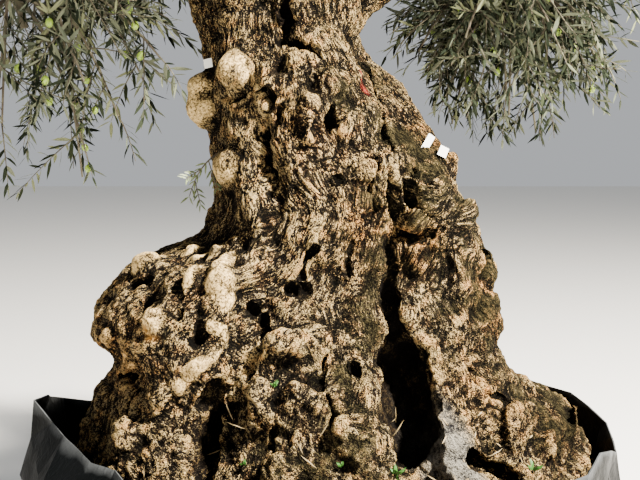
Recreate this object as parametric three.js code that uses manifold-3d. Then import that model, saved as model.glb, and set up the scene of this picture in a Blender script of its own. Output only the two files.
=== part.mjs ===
// A large old olive tree, trained like a bonsai, in a soft black plastic pot.
// A short and very broad trunk with burls and a deep hollow forks low down,
// and its boughs carry loose masses of narrow leaves.
// Millimetres, Z up. The front faces -Y. The origin is the middle of the pot's flat underside.
import * as THREE from 'three';
import { mergeVertices } from 'three/addons/utils/BufferGeometryUtils.js';
import Module from 'manifold-3d';

const wasm = await Module();
wasm.setup();
const { Manifold } = wasm;

// Driving dimensions.
const SOIL_LEVEL = 560; // soil surface above the pot's underside
const SEAT_GAP = 0.3; // clearance between pieces that touch
const CUT_GAP = 2 * SEAT_GAP; // a bough is cut by a trunk that is larger by this, flat faces and all

const POT_FOOT_RADIUS = 585;
const POT_TOP_RADIUS = 664;
const POT_WALL = 6;
const POT_FLOOR = 8;
const POT_SIDES = 48;
const POT_RINGS = [90, 330, SOIL_LEVEL]; // heights at which the wall bends
const SOIL_INSET = 3; // room between the soil and the wall
const FOLD_DEPTH = 9; // how far the soft wall waves in and out at the rim
const FOLDS = [ // waves round the wall: how many, share of the fold depth, phase
  [9, 0.6, 0.7],
  [14, 0.4, 2.1],
];

const TRUNK_TOP = 1190; // the fork, above the soil
const TRUNK_SIDES = 46;
const TRUNK_ROWS = 19;
const BURL_SIDES = 9;
const BURL_ROWS = 5;
const LOBE_SIDES = 11;
const LOBE_ROWS = 6;
const BOUGH_SIDES = 8;
const BOUGH_STEPS = 5;

const LEAF_LENGTH = 265; // one blade stands for a spray of small leaves
const LEAF_WIDTH = 62;
const LEAF_THICKNESS = 4;
const LEAF_SINK = 3.5; // how deep a leaf's root is set in its twig
const TWIG_ROOT_RADIUS = 7;
const TWIG_TIP_RADIUS = 3;
const TWIG_SIDES = 3;
const TWIG_STEPS = 3;
const STEM_SIDES = 5;
const STEM_STEPS = 4;
const OLIVE_RADII = [9, 9, 12];
const LEAVES_PER_BRANCH = 6;
const BRANCH_REACH = 0.74; // branch tips lie at this share of their mass's space
const LEAF_REACH = 0.98; // leaf tips stay within this share of it
const NEIGHBOUR_MARGIN = 0.05; // how much nearer its own mass a leaf must lie than to any other
const LIMB_CLEARANCE = 14;
const GOLDEN_ANGLE = Math.PI * (3 - Math.sqrt(5));
const FOLIAGE_SEED = 503;

// The trunk's core: height above the soil, centre x, centre y, half width, half depth.
const TRUNK_SECTIONS = [
  [0, 10, 10, 520, 430],
  [120, 5, 10, 478, 398],
  [260, -5, 10, 420, 358],
  [400, 0, 15, 375, 322],
  [520, 35, 20, 312, 288],
  [620, 40, 20, 280, 260],
  [740, 10, 20, 254, 232],
  [860, -40, 20, 216, 198],
  [980, -82, 15, 172, 164],
  [1080, -100, 10, 176, 152],
  [1140, -98, 12, 160, 140],
  [TRUNK_TOP, -90, 14, 84, 78],
];

// Shallow flutes that wind up the core: how many round it, depth as a share, twist per metre.
const FLUTES = [
  [5, 0.018, 1.1],
  [9, 0.014, -1.8],
];

// Swellings and valleys of the core, in degrees round it from the front and heights above the soil:
// middle, half width, middle height, half height, how far out, how square the edges are, and the
// degrees that it leans per 100 mm of height.
const SWELLINGS = [
  { what: 'left shoulder', angle: -84, wide: 46, height: 415, tall: 112, out: 128, edge: 5, lean: 0 },
  { what: 'left flank', angle: -84, wide: 46, height: 180, tall: 120, out: 58, edge: 3, lean: 0 },
  { what: 'left toe', angle: -88, wide: 30, height: 10, tall: 90, out: 42, edge: 2, lean: 0 },
  { what: 'shoulder front', angle: -36, wide: 13, height: 385, tall: 130, out: 70, edge: 5, lean: 0 },
  { what: 'shoulder front foot', angle: -44, wide: 16, height: 130, tall: 160, out: 44, edge: 3, lean: 0 },
  { what: 'front column', angle: -43, wide: 9, height: 60, tall: 220, out: 34, edge: 2, lean: 0 },
  { what: 'left valley', angle: -24, wide: 5, height: 230, tall: 170, out: -46, edge: 2, lean: 1.5 },
  { what: 'middle mass', angle: -5, wide: 22, height: 160, tall: 230, out: 42, edge: 3, lean: 0 },
  { what: 'middle seam', angle: -14, wide: 5, height: 90, tall: 150, out: -34, edge: 2, lean: 2 },
  { what: 'cavity post', angle: 12, wide: 6, height: 110, tall: 190, out: 36, edge: 2, lean: 0 },
  { what: 'right leg', angle: 52, wide: 20, height: 470, tall: 210, out: 40, edge: 3, lean: 0 },
  { what: 'right cheek', angle: 42, wide: 15, height: 630, tall: 95, out: 56, edge: 3, lean: 0 },
  { what: 'right front foot', angle: 50, wide: 20, height: 70, tall: 190, out: 72, edge: 3, lean: 0 },
  { what: 'dead wood', angle: 34, wide: 5, height: 90, tall: 170, out: 44, edge: 3, lean: 0 },
  { what: 'foot gap', angle: 40, wide: 4, height: 60, tall: 110, out: -40, edge: 2, lean: 0 },
  { what: 'right toe', angle: 92, wide: 25, height: 105, tall: 105, out: 112, edge: 4, lean: 0 },
  { what: 'right waist', angle: 92, wide: 24, height: 500, tall: 130, out: 34, edge: 3, lean: 0 },
  { what: 'right ridge', angle: 66, wide: 16, height: 800, tall: 130, out: 38, edge: 3, lean: 14 },
  { what: 'belly', angle: -8, wide: 26, height: 620, tall: 130, out: 20, edge: 2, lean: 4 },
  { what: 'pale ridge', angle: -37, wide: 11, height: 610, tall: 120, out: 36, edge: 2, lean: -3 },
  { what: 'left groove', angle: -27, wide: 6, height: 730, tall: 120, out: -38, edge: 2, lean: -1 },
  { what: 'upper lumps', angle: 8, wide: 30, height: 850, tall: 90, out: 24, edge: 3, lean: 0 },
  { what: 'fork valley', angle: -14, wide: 16, height: 1060, tall: 110, out: -24, edge: 2, lean: 0 },
  { what: 'right limb foot', angle: 34, wide: 20, height: 985, tall: 70, out: 22, edge: 2, lean: 0 },
  { what: 'back right root', angle: 132, wide: 20, height: 60, tall: 240, out: 76, edge: 3, lean: 0 },
  { what: 'back middle root', angle: 176, wide: 15, height: 60, tall: 330, out: 66, edge: 3, lean: 0 },
  { what: 'back left root', angle: -136, wide: 16, height: 80, tall: 260, out: 70, edge: 3, lean: 0 },
  { what: 'back valley', angle: 154, wide: 9, height: 330, tall: 300, out: -54, edge: 2, lean: 3 },
  { what: 'back left valley', angle: -158, wide: 8, height: 420, tall: 330, out: -48, edge: 2, lean: -3 },
  { what: 'back cheek', angle: -160, wide: 24, height: 760, tall: 120, out: 34, edge: 3, lean: 0 },
];

// The limb bases at the fork: two ends above the soil, and the radius at each.
const LIMBS = [
  { what: 'right limb', from: [6, -46, 980], to: [28, -46, 1210], radii: [74, 72] },
  { what: 'left limb', from: [-182, -8, 950], to: [-216, -8, 1190], radii: [78, 86] },
  { what: 'back limb', from: [-20, 40, 980], to: [62, 92, 1150], radii: [80, 70] },
];

// Round burls on the bark: angle from the front, height above the soil, half width, half height
// and how far the burl stands out.
const BURLS = [
  { what: 'upper round', angle: -40, height: 912, wide: 47, tall: 46, proud: 34 },
  { what: 'upper edge', angle: -78, height: 886, wide: 38, tall: 38, proud: 42 },
  { what: 'lower edge', angle: -78, height: 832, wide: 46, tall: 46, proud: 46 },
  { what: 'side', angle: -56, height: 703, wide: 44, tall: 42, proud: 30 },
  { what: 'moss lump', angle: 22, height: 862, wide: 48, tall: 60, proud: 34 },
  { what: 'nose', angle: 0, height: 812, wide: 26, tall: 56, proud: 34 },
  { what: 'oblong', angle: -20, height: 872, wide: 27, tall: 46, proud: 26 },
  { what: 'right edge', angle: 93, height: 474, wide: 44, tall: 40, proud: 25 },
  { what: 'shoulder top', angle: -58, height: 466, wide: 72, tall: 50, proud: 46 },
  { what: 'shoulder corner', angle: -31, height: 446, wide: 64, tall: 78, proud: 40 },
  { what: 'shoulder outer', angle: -84, height: 420, wide: 66, tall: 52, proud: 22 },
  { what: 'shoulder front', angle: -50, height: 345, wide: 44, tall: 44, proud: 36 },
  { what: 'shoulder upright', angle: -31, height: 330, wide: 40, tall: 84, proud: 38 },
  { what: 'back upper', angle: 168, height: 850, wide: 62, tall: 58, proud: 42 },
  { what: 'back lower', angle: -122, height: 470, wide: 84, tall: 70, proud: 52 },
  { what: 'back right', angle: 118, height: 600, wide: 66, tall: 80, proud: 46 },
];

// What rot has taken out: two ends above the soil, the radius at each, and how many times deeper
// than wide it is.
const HOLLOWS = [
  { what: 'great hollow', from: [166, -318, 318], to: [198, -372, 136], radii: [60, 42], depth: 2.2 },
  { what: 'fissure', from: [146, -270, 600], to: [158, -300, 400], radii: [13, 26], depth: 3.4 },
  { what: 'small hole', from: [-30, -320, 478], to: [-24, -320, 462], radii: [20, 18], depth: 3 },
];

// The pot's limp rim: angle round it from the front, height above the soil, and how far it flops in.
const RIM_POINTS = [
  [-180, 84, 6], [-146, 72, 8], [-117, 87, 2], [-104, 123, 0], [-98, 148, 0], [-87, 184, 0],
  [-74, 156, 0], [-58, 186, 4], [-41, 172, 8], [-30, 150, 14], [-12, 96, 20], [8, 78, 10],
  [30, 104, 12], [45, 128, 8], [60, 150, 2], [72, 96, 0], [86, 100, 0], [96, 124, 0],
  [109, 136, 2], [146, 96, 8],
];

// Boughs: a curve from inside the trunk, or an older bough, to where the foliage begins,
// above the soil, with the radius at both ends.
const BOUGHS = {
  bough_left: { path: [[-196, -8, 1030], [-290, -30, 1390], [-520, -60, 1480]], radii: [80, 32] },
  bough_right: { path: [[10, -44, 1050], [80, -60, 1370], [510, 0, 1450]], radii: [66, 30] },
  bough_back: { path: [[8, 50, 990], [60, 220, 1320], [-60, 440, 1420]], radii: [64, 27] },
  bough_top_left: { path: [[-240, -14, 1200], [-220, 20, 1450], [-300, -40, 1620]], radii: [54, 28] },
  bough_top_right: { path: [[72, -52, 1240], [40, -60, 1450], [250, -30, 1590]], radii: [52, 28] },
  bough_front: { path: [[6, -70, 1140], [-60, -240, 1390], [-80, -380, 1450]], radii: [44, 23] },
  bough_left_low: { path: [[-180, 10, 1060], [-400, 80, 1310], [-600, 40, 1330]], radii: [46, 20] },
  bough_back_left: { path: [[-170, 30, 1050], [-320, 250, 1290], [-450, 330, 1320]], radii: [44, 20] },
  bough_back_right: { path: [[50, 150, 1150], [230, 310, 1270], [420, 390, 1270]], radii: [42, 19] },
  bough_right_low: { path: [[20, 60, 1010], [260, 170, 1240], [390, 150, 1225]], radii: [40, 18] },
};

// Masses of foliage, each at the tip of its bough: the middle and half sizes of the egg-shaped space
// that it fills, above the soil, its branches and fruit, and how far it droops.
const MASSES = {
  left: { centre: [-780, -110, 1600], radii: [430, 450, 390], branches: 9, olives: 0, droop: 0.1 },
  left_low: { centre: [-670, 10, 1020], radii: [450, 320, 430], branches: 9, olives: 3, droop: 0.4 },
  top_left: { centre: [-330, -50, 1920], radii: [460, 450, 370], branches: 9, olives: 0, droop: 0.05 },
  top_right: { centre: [330, -40, 1900], radii: [460, 450, 370], branches: 9, olives: 0, droop: 0.05 },
  right: { centre: [780, -40, 1570], radii: [430, 450, 380], branches: 9, olives: 2, droop: 0.1 },
  right_low: { centre: [460, 160, 1000], radii: [330, 270, 270], branches: 8, olives: 4, droop: 0.35 },
  front: { centre: [-50, -590, 1610], radii: [460, 380, 350], branches: 9, olives: 0, droop: 0.12 },
  back: { centre: [-20, 660, 1570], radii: [470, 380, 390], branches: 9, olives: 0, droop: 0.15 },
  back_left: { centre: [-620, 500, 1350], radii: [400, 380, 400], branches: 8, olives: 0, droop: 0.25 },
  back_right: { centre: [600, 540, 1300], radii: [400, 380, 400], branches: 8, olives: 0, droop: 0.25 },
};

// A small shoot that springs from the bark and hangs beside the waist of the trunk.
const TRUNK_SHOOT = {
  root: [-224, -30, 744],
  bend: [-328, -46, 716],
  tip: [-318, -40, 640],
  radii: [3.4, 1.6],
  leaf: [62, 12, 1],
  leaves: 7,
};

const MATERIALS = {
  bark: new THREE.MeshStandardMaterial({ color: 0x7d6850, roughness: 0.95, metalness: 0 }),
  leaf: new THREE.MeshStandardMaterial({ color: 0x6c7552, roughness: 0.6, metalness: 0 }),
  film: new THREE.MeshStandardMaterial({ color: 0x1d1f22, roughness: 0.45, metalness: 0 }),
  soil: new THREE.MeshStandardMaterial({ color: 0x3a2c20, roughness: 1, metalness: 0 }),
};

const UP = new THREE.Vector3(0, 0, 1);
const BALL_AXIS = new THREE.Vector3(0, 1, 0);
const aboveSoil = ([x, y, z]) => new THREE.Vector3(x, y, z + SOIL_LEVEL + SEAT_GAP);
const taper = (root, tip) => (share) => root + (tip - root) * share;
const wrapDegrees = (degrees) => THREE.MathUtils.euclideanModulo(degrees + 180, 360) - 180;

// A repeatable stream of numbers from 0 to 1.
function seeded(seed) {
  let state = seed >>> 0;
  return () => {
    state = (Math.imul(state, 1664525) + 1013904223) >>> 0;
    return state / 2 ** 32;
  };
}

// Turns a closed geometry into a solid that can be joined and cut.
function solid(geometry) {
  const bare = geometry.clone();
  bare.deleteAttribute('normal');
  bare.deleteAttribute('uv');
  const merged = mergeVertices(bare, 1e-3);
  return new Manifold(new wasm.Mesh({
    numProp: 3,
    vertProperties: new Float32Array(merged.attributes.position.array),
    triVerts: new Uint32Array(merged.index.array),
  }));
}

// The named mesh of a solid, less any loose scrap.
function piece(name, shape, material) {
  const whole = shape.decompose().sort((a, b) => b.volume() - a.volume())[0];
  const { vertProperties, triVerts } = whole.getMesh();
  const geometry = new THREE.BufferGeometry();
  geometry.setAttribute('position', new THREE.BufferAttribute(vertProperties, 3));
  geometry.setIndex(new THREE.BufferAttribute(triVerts, 1));
  geometry.computeVertexNormals();
  const mesh = new THREE.Mesh(geometry, material);
  mesh.name = name;
  return mesh;
}

// Moves every vertex of a geometry by a function of its place.
function shaped(geometry, move) {
  const position = geometry.attributes.position;
  for (let i = 0; i < position.count; i += 1) {
    const moved = move(new THREE.Vector3().fromBufferAttribute(position, i));
    position.setXYZ(i, moved.x, moved.y, moved.z);
  }
  return geometry;
}

// The trunk core's centre and half sizes at a height above the soil.
function sectionAt(height) {
  const above = TRUNK_SECTIONS.findIndex((row) => row[0] >= height);
  const high = TRUNK_SECTIONS[Math.max(above, 1)];
  const low = TRUNK_SECTIONS[Math.max(above, 1) - 1];
  const share = (height - low[0]) / (high[0] - low[0]);
  return low.slice(1).map((value, i) => value + (high[i + 1] - value) * share);
}

// How far the swellings lift the bark at an angle and a height.
function swellingAt(angle, height) {
  const degrees = THREE.MathUtils.radToDeg(angle);
  return SWELLINGS.reduce((sum, one) => {
    const middle = one.angle + one.lean * (height - one.height) / 100;
    const across = Math.abs(wrapDegrees(degrees - middle) / one.wide) ** one.edge;
    const along = Math.abs((height - one.height) / one.tall) ** one.edge;
    return sum + one.out * Math.exp(-across - along);
  }, 0);
}

// A point on the core's bark, at an angle from the front and a height above the soil.
// An inset of 0 lies on the core's centre line, and 1 on the bark.
function onBark(angle, height, inset = 1, grow = 0) {
  const [cx, cy, rx, ry] = sectionAt(height);
  const out = grow + swellingAt(angle, height);
  const fluting = FLUTES.reduce(
    (sum, [count, depth, twist]) => sum + depth * Math.cos(count * angle + twist * height / 1000 * Math.PI),
    1,
  );
  return aboveSoil([
    cx + (rx * fluting + out) * inset * Math.sin(angle),
    cy - (ry * fluting + out) * inset * Math.cos(angle),
    height,
  ]);
}

function trunkCore(grow) {
  const drum = new THREE.CylinderGeometry(1, 1, 1, TRUNK_SIDES, TRUNK_ROWS);
  return solid(shaped(drum, (p) => {
    const inset = Math.min(1, Math.hypot(p.x, p.z));
    return onBark(Math.atan2(p.x, p.z), (p.y + 0.5) * TRUNK_TOP, inset, grow);
  }));
}

// A rounded limb between two ends: a ball whose upper half is carried to the far end.
function lobe({ from, to, radii, depth = 1 }, grow = 0) {
  const start = aboveSoil(from);
  const axis = aboveSoil(to).sub(start);
  const ball = new THREE.SphereGeometry(1, LOBE_SIDES, LOBE_ROWS);
  shaped(ball, (p) => {
    const upper = p.y >= 0;
    const radius = radii[upper ? 1 : 0] + grow;
    return new THREE.Vector3(p.x, p.y, p.z * depth)
      .multiplyScalar(radius)
      .addScaledVector(BALL_AXIS, upper ? axis.length() : 0);
  });
  ball.applyQuaternion(new THREE.Quaternion().setFromUnitVectors(BALL_AXIS, axis.normalize()));
  ball.translate(start.x, start.y, start.z);
  return solid(ball);
}

function burl({ angle, height, wide, tall, proud }, grow) {
  const turn = THREE.MathUtils.degToRad(angle);
  const centre = onBark(turn, height);
  const ball = new THREE.SphereGeometry(1, BURL_SIDES, BURL_ROWS);
  ball.scale(wide + grow, proud + grow, tall + grow);
  ball.rotateZ(turn);
  ball.translate(centre.x, centre.y, centre.z);
  return solid(ball);
}

// The trunk up to its fork, before rot. All of its sizes can be enlarged, for cutting its boughs.
function trunkSolid(grow = 0) {
  return Manifold.union([
    trunkCore(grow),
    ...LIMBS.map((one) => lobe(one, grow)),
    ...BURLS.map((one) => burl(one, grow)),
  ]);
}

function trunk() {
  return trunkSolid().subtract(Manifold.union(HOLLOWS.map((one) => lobe(one))));
}

// A limb swept along a curve, with flat ends.
function swept(curve, radiusAt, sides, steps) {
  const chord = curve.getPoint(1).sub(curve.getPoint(0));
  const across = new THREE.Vector3().crossVectors(chord, UP);
  const drum = new THREE.CylinderGeometry(1, 1, 1, sides, steps);
  return solid(shaped(drum, (p) => {
    const share = THREE.MathUtils.clamp(p.y + 0.5, 0, 1);
    const tangent = curve.getTangent(share);
    const side = across.clone().addScaledVector(tangent, -across.dot(tangent)).normalize();
    const other = new THREE.Vector3().crossVectors(side, tangent);
    return curve.getPoint(share)
      .addScaledVector(side, p.x * radiusAt(share))
      .addScaledVector(other, p.z * radiusAt(share));
  }));
}

const boughCurve = ({ path }) => new THREE.QuadraticBezierCurve3(...path.map(aboveSoil));

function boughLimb(bough, grow = 0) {
  const [root, tip] = bough.radii;
  return swept(boughCurve(bough), taper(root + grow, tip + grow), BOUGH_SIDES, BOUGH_STEPS);
}

// The boughs, each cut clear of the trunk and of the boughs made before it.
function boughs() {
  let taken = trunkSolid(CUT_GAP);
  return Object.entries(BOUGHS).map(([name, bough]) => {
    const limb = boughLimb(bough).subtract(taken);
    taken = taken.add(boughLimb(bough, CUT_GAP));
    return [name, limb];
  });
}

// How far out a point lies in a mass's space: 0 at its centre and 1 at its edge.
function depthIn({ centre, radii }, point) {
  const offset = point.clone().sub(aboveSoil(centre));
  return offset.divide(new THREE.Vector3(...radii)).length();
}

// Balls that fill everything woody, to keep twigs and leaves off it.
function woodBalls() {
  const along = [0, 0.5, 1];
  const steps = 12;
  return [
    ...Object.entries(BOUGHS).flatMap(([bough, { path, radii }]) => (
      boughCurve({ path }).getPoints(steps).map((point, i) => (
        { point, bough, radius: taper(...radii)(i / steps) }
      ))
    )),
    ...LIMBS.flatMap(({ from, to, radii }) => along.map((share) => (
      { point: aboveSoil(from).lerp(aboveSoil(to), share), radius: taper(...radii)(share) }
    ))),
    ...TRUNK_SECTIONS.map(([height, cx, cy, rx, ry]) => (
      { point: aboveSoil([cx, cy, height]), radius: Math.max(rx, ry) }
    )),
  ];
}

const WOOD = woodBalls();

// Whether a point lies in its own mass's space, clear of other masses and of the wood.
function keeps(name, point) {
  const depth = depthIn(MASSES[name], point);
  if (depth > LEAF_REACH) return false;
  const others = Object.keys(MASSES).filter((other) => other !== name);
  if (others.some((other) => depthIn(MASSES[other], point) < depth + NEIGHBOUR_MARGIN)) return false;
  return WOOD.every((wood) => {
    const room = wood.bough === `bough_${name}` ? LIMB_CLEARANCE / 2 : LIMB_CLEARANCE * 2;
    return point.distanceTo(wood.point) > wood.radius + room;
  });
}

// A pointed blade of eight faces from its root along a direction.
function leafBlade(root, direction, normal, [length, width, thickness]) {
  const across = new THREE.Vector3().crossVectors(normal, direction).normalize();
  const face = new THREE.Vector3().crossVectors(direction, across);
  const blade = new THREE.OctahedronGeometry(1);
  blade.scale(length / 2, width / 2, thickness / 2);
  blade.translate(length / 2, 0, 0);
  blade.applyMatrix4(new THREE.Matrix4().makeBasis(direction, across, face).setPosition(root));
  return solid(blade);
}

// The stem of a mass: it goes on from its bough's tip to the middle of the mass.
function stemCurve(name) {
  const bough = boughCurve(BOUGHS[`bough_${name}`]);
  const heading = bough.getTangent(1);
  const start = bough.getPoint(1).addScaledVector(heading, SEAT_GAP);
  const heart = aboveSoil(MASSES[name].centre);
  const bend = start.clone().addScaledVector(heading, start.distanceTo(heart) / 2);
  return new THREE.QuadraticBezierCurve3(start, bend, heart);
}

// A branch of a mass: it rises a little from the stem and arches over to its tip.
function branchCurve({ centre, radii, droop }, start, direction) {
  const reach = new THREE.Vector3(...radii).multiply(direction).multiplyScalar(BRANCH_REACH);
  const tip = aboveSoil(centre).add(reach);
  const bend = start.clone().lerp(tip, 0.5);
  bend.z += start.distanceTo(tip) * (0.12 + droop / 2);
  return new THREE.QuadraticBezierCurve3(start, bend, tip);
}

// Leaves along a branch: to either side in turn, and one that goes on from the tip.
function leavesOn(name, branch, random) {
  const { droop } = MASSES[name];
  const blades = [];
  for (let i = 1; i <= LEAVES_PER_BRANCH; i += 1) {
    const last = i === LEAVES_PER_BRANCH;
    const share = last ? 1 : 0.16 + 0.68 * i / (LEAVES_PER_BRANCH - 1);
    const tangent = branch.getTangent(share);
    const side = new THREE.Vector3().crossVectors(tangent, UP).normalize();
    const lean = (i % 2 ? -1 : 1) * (0.9 + 0.4 * random());
    const lift = 0.6 * random() - 0.3 - 1.2 * droop;
    const direction = tangent.clone()
      .addScaledVector(side, last ? 0 : lean)
      .addScaledVector(UP, last ? -droop : lift)
      .normalize();
    const normal = new THREE.Vector3(random() - 0.5, random() - 0.5, 1).normalize();
    const length = LEAF_LENGTH * (0.8 + 0.35 * random());
    const root = branch.getPoint(share).addScaledVector(direction, -LEAF_SINK);
    const across = new THREE.Vector3().crossVectors(normal, direction).normalize();
    const probes = [[1, 0], [0.75, 0], [0.5, 0.5], [0.5, -0.5]].map(([along, aside]) => (
      root.clone().addScaledVector(direction, along * length).addScaledVector(across, aside * LEAF_WIDTH)
    ));
    if (probes.every((probe) => keeps(name, probe))) {
      blades.push(leafBlade(root, direction, normal, [length, LEAF_WIDTH, LEAF_THICKNESS]));
    }
  }
  return blades;
}

// An olive that hangs under a branch, its top sunk in the twig.
function oliveOn(branch) {
  const hook = branch.getPoint(0.62);
  const olive = new THREE.IcosahedronGeometry(1);
  olive.scale(...OLIVE_RADII);
  olive.translate(hook.x, hook.y, hook.z - OLIVE_RADII[2]);
  return solid(olive);
}

// A mass of foliage: a stem, branches spread evenly through its space, and leaves fused to them.
function foliage(name, seed) {
  const mass = MASSES[name];
  const random = seeded(seed);
  const stem = stemCurve(name);
  const parts = [
    swept(stem, taper(BOUGHS[`bough_${name}`].radii[1], TWIG_ROOT_RADIUS), STEM_SIDES, STEM_STEPS),
  ];
  for (let i = 0; i < mass.branches; i += 1) {
    const rise = 1 - 2 * (i + 0.5) / mass.branches;
    const level = Math.sqrt(1 - rise * rise);
    const turn = i * GOLDEN_ANGLE + 0.5 * random();
    const direction = new THREE.Vector3(level * Math.cos(turn), level * Math.sin(turn), rise);
    const branch = branchCurve(mass, stem.getPoint(0.2 + 0.75 * random()), direction);
    if ([0.5, 0.75, 1].every((share) => keeps(name, branch.getPoint(share)))) {
      parts.push(swept(branch, taper(TWIG_ROOT_RADIUS, TWIG_TIP_RADIUS), TWIG_SIDES, TWIG_STEPS));
      parts.push(...leavesOn(name, branch, random));
      if (i >= mass.branches - mass.olives) parts.push(oliveOn(branch));
    }
  }
  return Manifold.union(parts);
}

// The shoot on the trunk: a thin stem with small leaves on both sides.
function trunkShoot() {
  const { root, bend, tip, radii, leaf, leaves } = TRUNK_SHOOT;
  const stem = new THREE.QuadraticBezierCurve3(...[root, bend, tip].map(aboveSoil));
  const random = seeded(FOLIAGE_SEED);
  const facing = new THREE.Vector3(0.3, -1, 0.5);
  const parts = [swept(stem, taper(...radii), TWIG_SIDES, TWIG_STEPS)];
  for (let i = 0; i < leaves; i += 1) {
    const share = 0.55 + 0.45 * i / (leaves - 1);
    const direction = stem.getTangent(share).multiplyScalar(0.7)
      .add(new THREE.Vector3(i % 2 ? -0.9 : 0.35, -0.5 * random(), 0.5 * random() - 0.2))
      .normalize();
    const origin = stem.getPoint(share).addScaledVector(direction, -radii[1] / 2);
    parts.push(leafBlade(origin, direction, facing, leaf));
  }
  return Manifold.union(parts).subtract(trunkSolid(CUT_GAP));
}

// The rim's height above the soil and its lean at an angle, eased from each of its points to the next.
function rimAt(angle) {
  const degrees = wrapDegrees(THREE.MathUtils.radToDeg(angle));
  const points = [...RIM_POINTS, [180, ...RIM_POINTS[0].slice(1)]];
  const next = Math.max(1, points.findIndex(([at]) => at > degrees));
  const [before, ...low] = points[next - 1];
  const [after, ...high] = points[next];
  const share = THREE.MathUtils.smoothstep(degrees, before, after);
  return low.map((value, i) => value + (high[i] - value) * share);
}

// The pot's outer radius: it widens upwards, and its soft wall waves more towards the rim.
function potRadius(angle, height) {
  const share = height / SOIL_LEVEL;
  const straight = POT_FOOT_RADIUS + (POT_TOP_RADIUS - POT_FOOT_RADIUS) * (1 - (1 - share) ** 2);
  const waves = FOLDS.reduce((sum, [count, part, phase]) => sum + part * Math.sin(count * angle + phase), 0);
  return straight + FOLD_DEPTH * share * waves;
}

// Turns a profile about the pot's axis. Each of its points is [inset, height], where the inset from
// the pot's outer face is null on the axis, and a height of null stands for the rim.
function turned(profile) {
  const lathe = new THREE.LatheGeometry(profile.map((_, i) => new THREE.Vector2(1, i)), POT_SIDES);
  return solid(shaped(lathe, (p) => {
    const angle = Math.atan2(p.x, p.z);
    const [inset, level] = profile[Math.round(p.y)];
    const [rise, lean] = level === null ? rimAt(angle) : [0, 0];
    const height = level === null ? SOIL_LEVEL + rise : level;
    const radius = inset === null ? 0 : potRadius(angle, height) - inset - lean;
    return new THREE.Vector3(Math.sin(angle) * radius, -Math.cos(angle) * radius, height);
  }));
}

// The pot: an open vessel of even wall thickness with an uneven rim.
function pot() {
  const outside = POT_RINGS.map((height) => [0, height]);
  const inside = POT_RINGS.map((height) => [POT_WALL, height]).reverse();
  return turned([
    [null, 0], [0, 0], ...outside, [0, null],
    [POT_WALL, null], ...inside, [POT_WALL, POT_FLOOR], [null, POT_FLOOR],
  ]);
}

// The root ball: soil that fills the pot up to a level top.
function soil() {
  const inset = POT_WALL + SOIL_INSET;
  const floor = POT_FLOOR + SEAT_GAP;
  const side = POT_RINGS.map((height) => [inset, height]);
  return turned([[null, floor], [inset, floor], ...side, [null, SOIL_LEVEL]]);
}

const tree = new THREE.Group();
tree.add(piece('pot', pot(), MATERIALS.film));
tree.add(piece('soil', soil(), MATERIALS.soil));
tree.add(piece('trunk', trunk(), MATERIALS.bark));
for (const [name, limb] of boughs()) tree.add(piece(name, limb, MATERIALS.bark));
Object.keys(MASSES).forEach((name, i) => {
  tree.add(piece(`foliage_${name}`, foliage(name, FOLIAGE_SEED + 17 * i), MATERIALS.leaf));
});
tree.add(piece('trunk_shoot', trunkShoot(), MATERIALS.leaf));

export default tree;
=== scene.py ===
"""A large old olive tree, trained like a bonsai, in a soft black plastic pot.

The trunk and boughs get their bark, the masses of foliage their twigs, leaves and fruit, and the pot
its folds. Tables are in millimetres above the soil, as in the part's source, and meshes in metres.
"""
import math

import bmesh
import bpy
import numpy as np
from mathutils import Matrix, Vector


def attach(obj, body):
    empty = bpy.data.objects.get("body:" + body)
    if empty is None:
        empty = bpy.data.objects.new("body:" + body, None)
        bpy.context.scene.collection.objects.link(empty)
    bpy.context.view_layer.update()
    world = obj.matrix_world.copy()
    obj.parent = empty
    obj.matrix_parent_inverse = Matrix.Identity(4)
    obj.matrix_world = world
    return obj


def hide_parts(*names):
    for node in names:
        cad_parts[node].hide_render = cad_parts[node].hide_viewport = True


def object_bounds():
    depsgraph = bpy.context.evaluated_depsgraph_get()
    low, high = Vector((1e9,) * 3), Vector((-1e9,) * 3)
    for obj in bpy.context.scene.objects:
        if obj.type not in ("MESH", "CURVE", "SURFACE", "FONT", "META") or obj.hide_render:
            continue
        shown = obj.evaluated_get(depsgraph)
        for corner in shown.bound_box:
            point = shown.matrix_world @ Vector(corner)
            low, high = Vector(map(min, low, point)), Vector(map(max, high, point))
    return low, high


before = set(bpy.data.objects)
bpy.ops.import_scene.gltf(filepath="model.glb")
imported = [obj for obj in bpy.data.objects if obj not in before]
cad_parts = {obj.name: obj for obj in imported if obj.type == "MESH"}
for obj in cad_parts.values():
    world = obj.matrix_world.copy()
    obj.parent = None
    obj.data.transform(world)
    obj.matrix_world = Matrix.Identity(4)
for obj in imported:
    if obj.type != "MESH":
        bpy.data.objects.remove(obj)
CAD_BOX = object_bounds()

bl_info = {
    "name": "Old olive tree in a pot",
    "version": (1, 0, 0),
    "blender": (4, 5, 0),
    "location": "3D View > Sidebar > Olive",
    "description": "Builds the bark, foliage, pot and soil of an old olive tree over its plain solids",
    "category": "Object",
}

MM = 0.001
UP = np.array((0, 0, 1.0))
GOLDEN_ANGLE = math.pi * (3 - math.sqrt(5))
# Metres above the floor: the top of the soil, and the flat foot of the wood just over it.
SOIL_LEVEL = 0.560
WOOD_FOOT = 0.5603
SOIL_HEIGHT = SOIL_LEVEL / MM

# Kinds of shader node.
ATTRIBUTE = "ShaderNodeAttribute"
BUMP = "ShaderNodeBump"
COORDINATES = "ShaderNodeTexCoord"
MAP_RANGE = "ShaderNodeMapRange"
MATH = "ShaderNodeMath"
MIX = "ShaderNodeMix"
NOISE = "ShaderNodeTexNoise"
RAMP = "ShaderNodeValToRGB"

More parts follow.
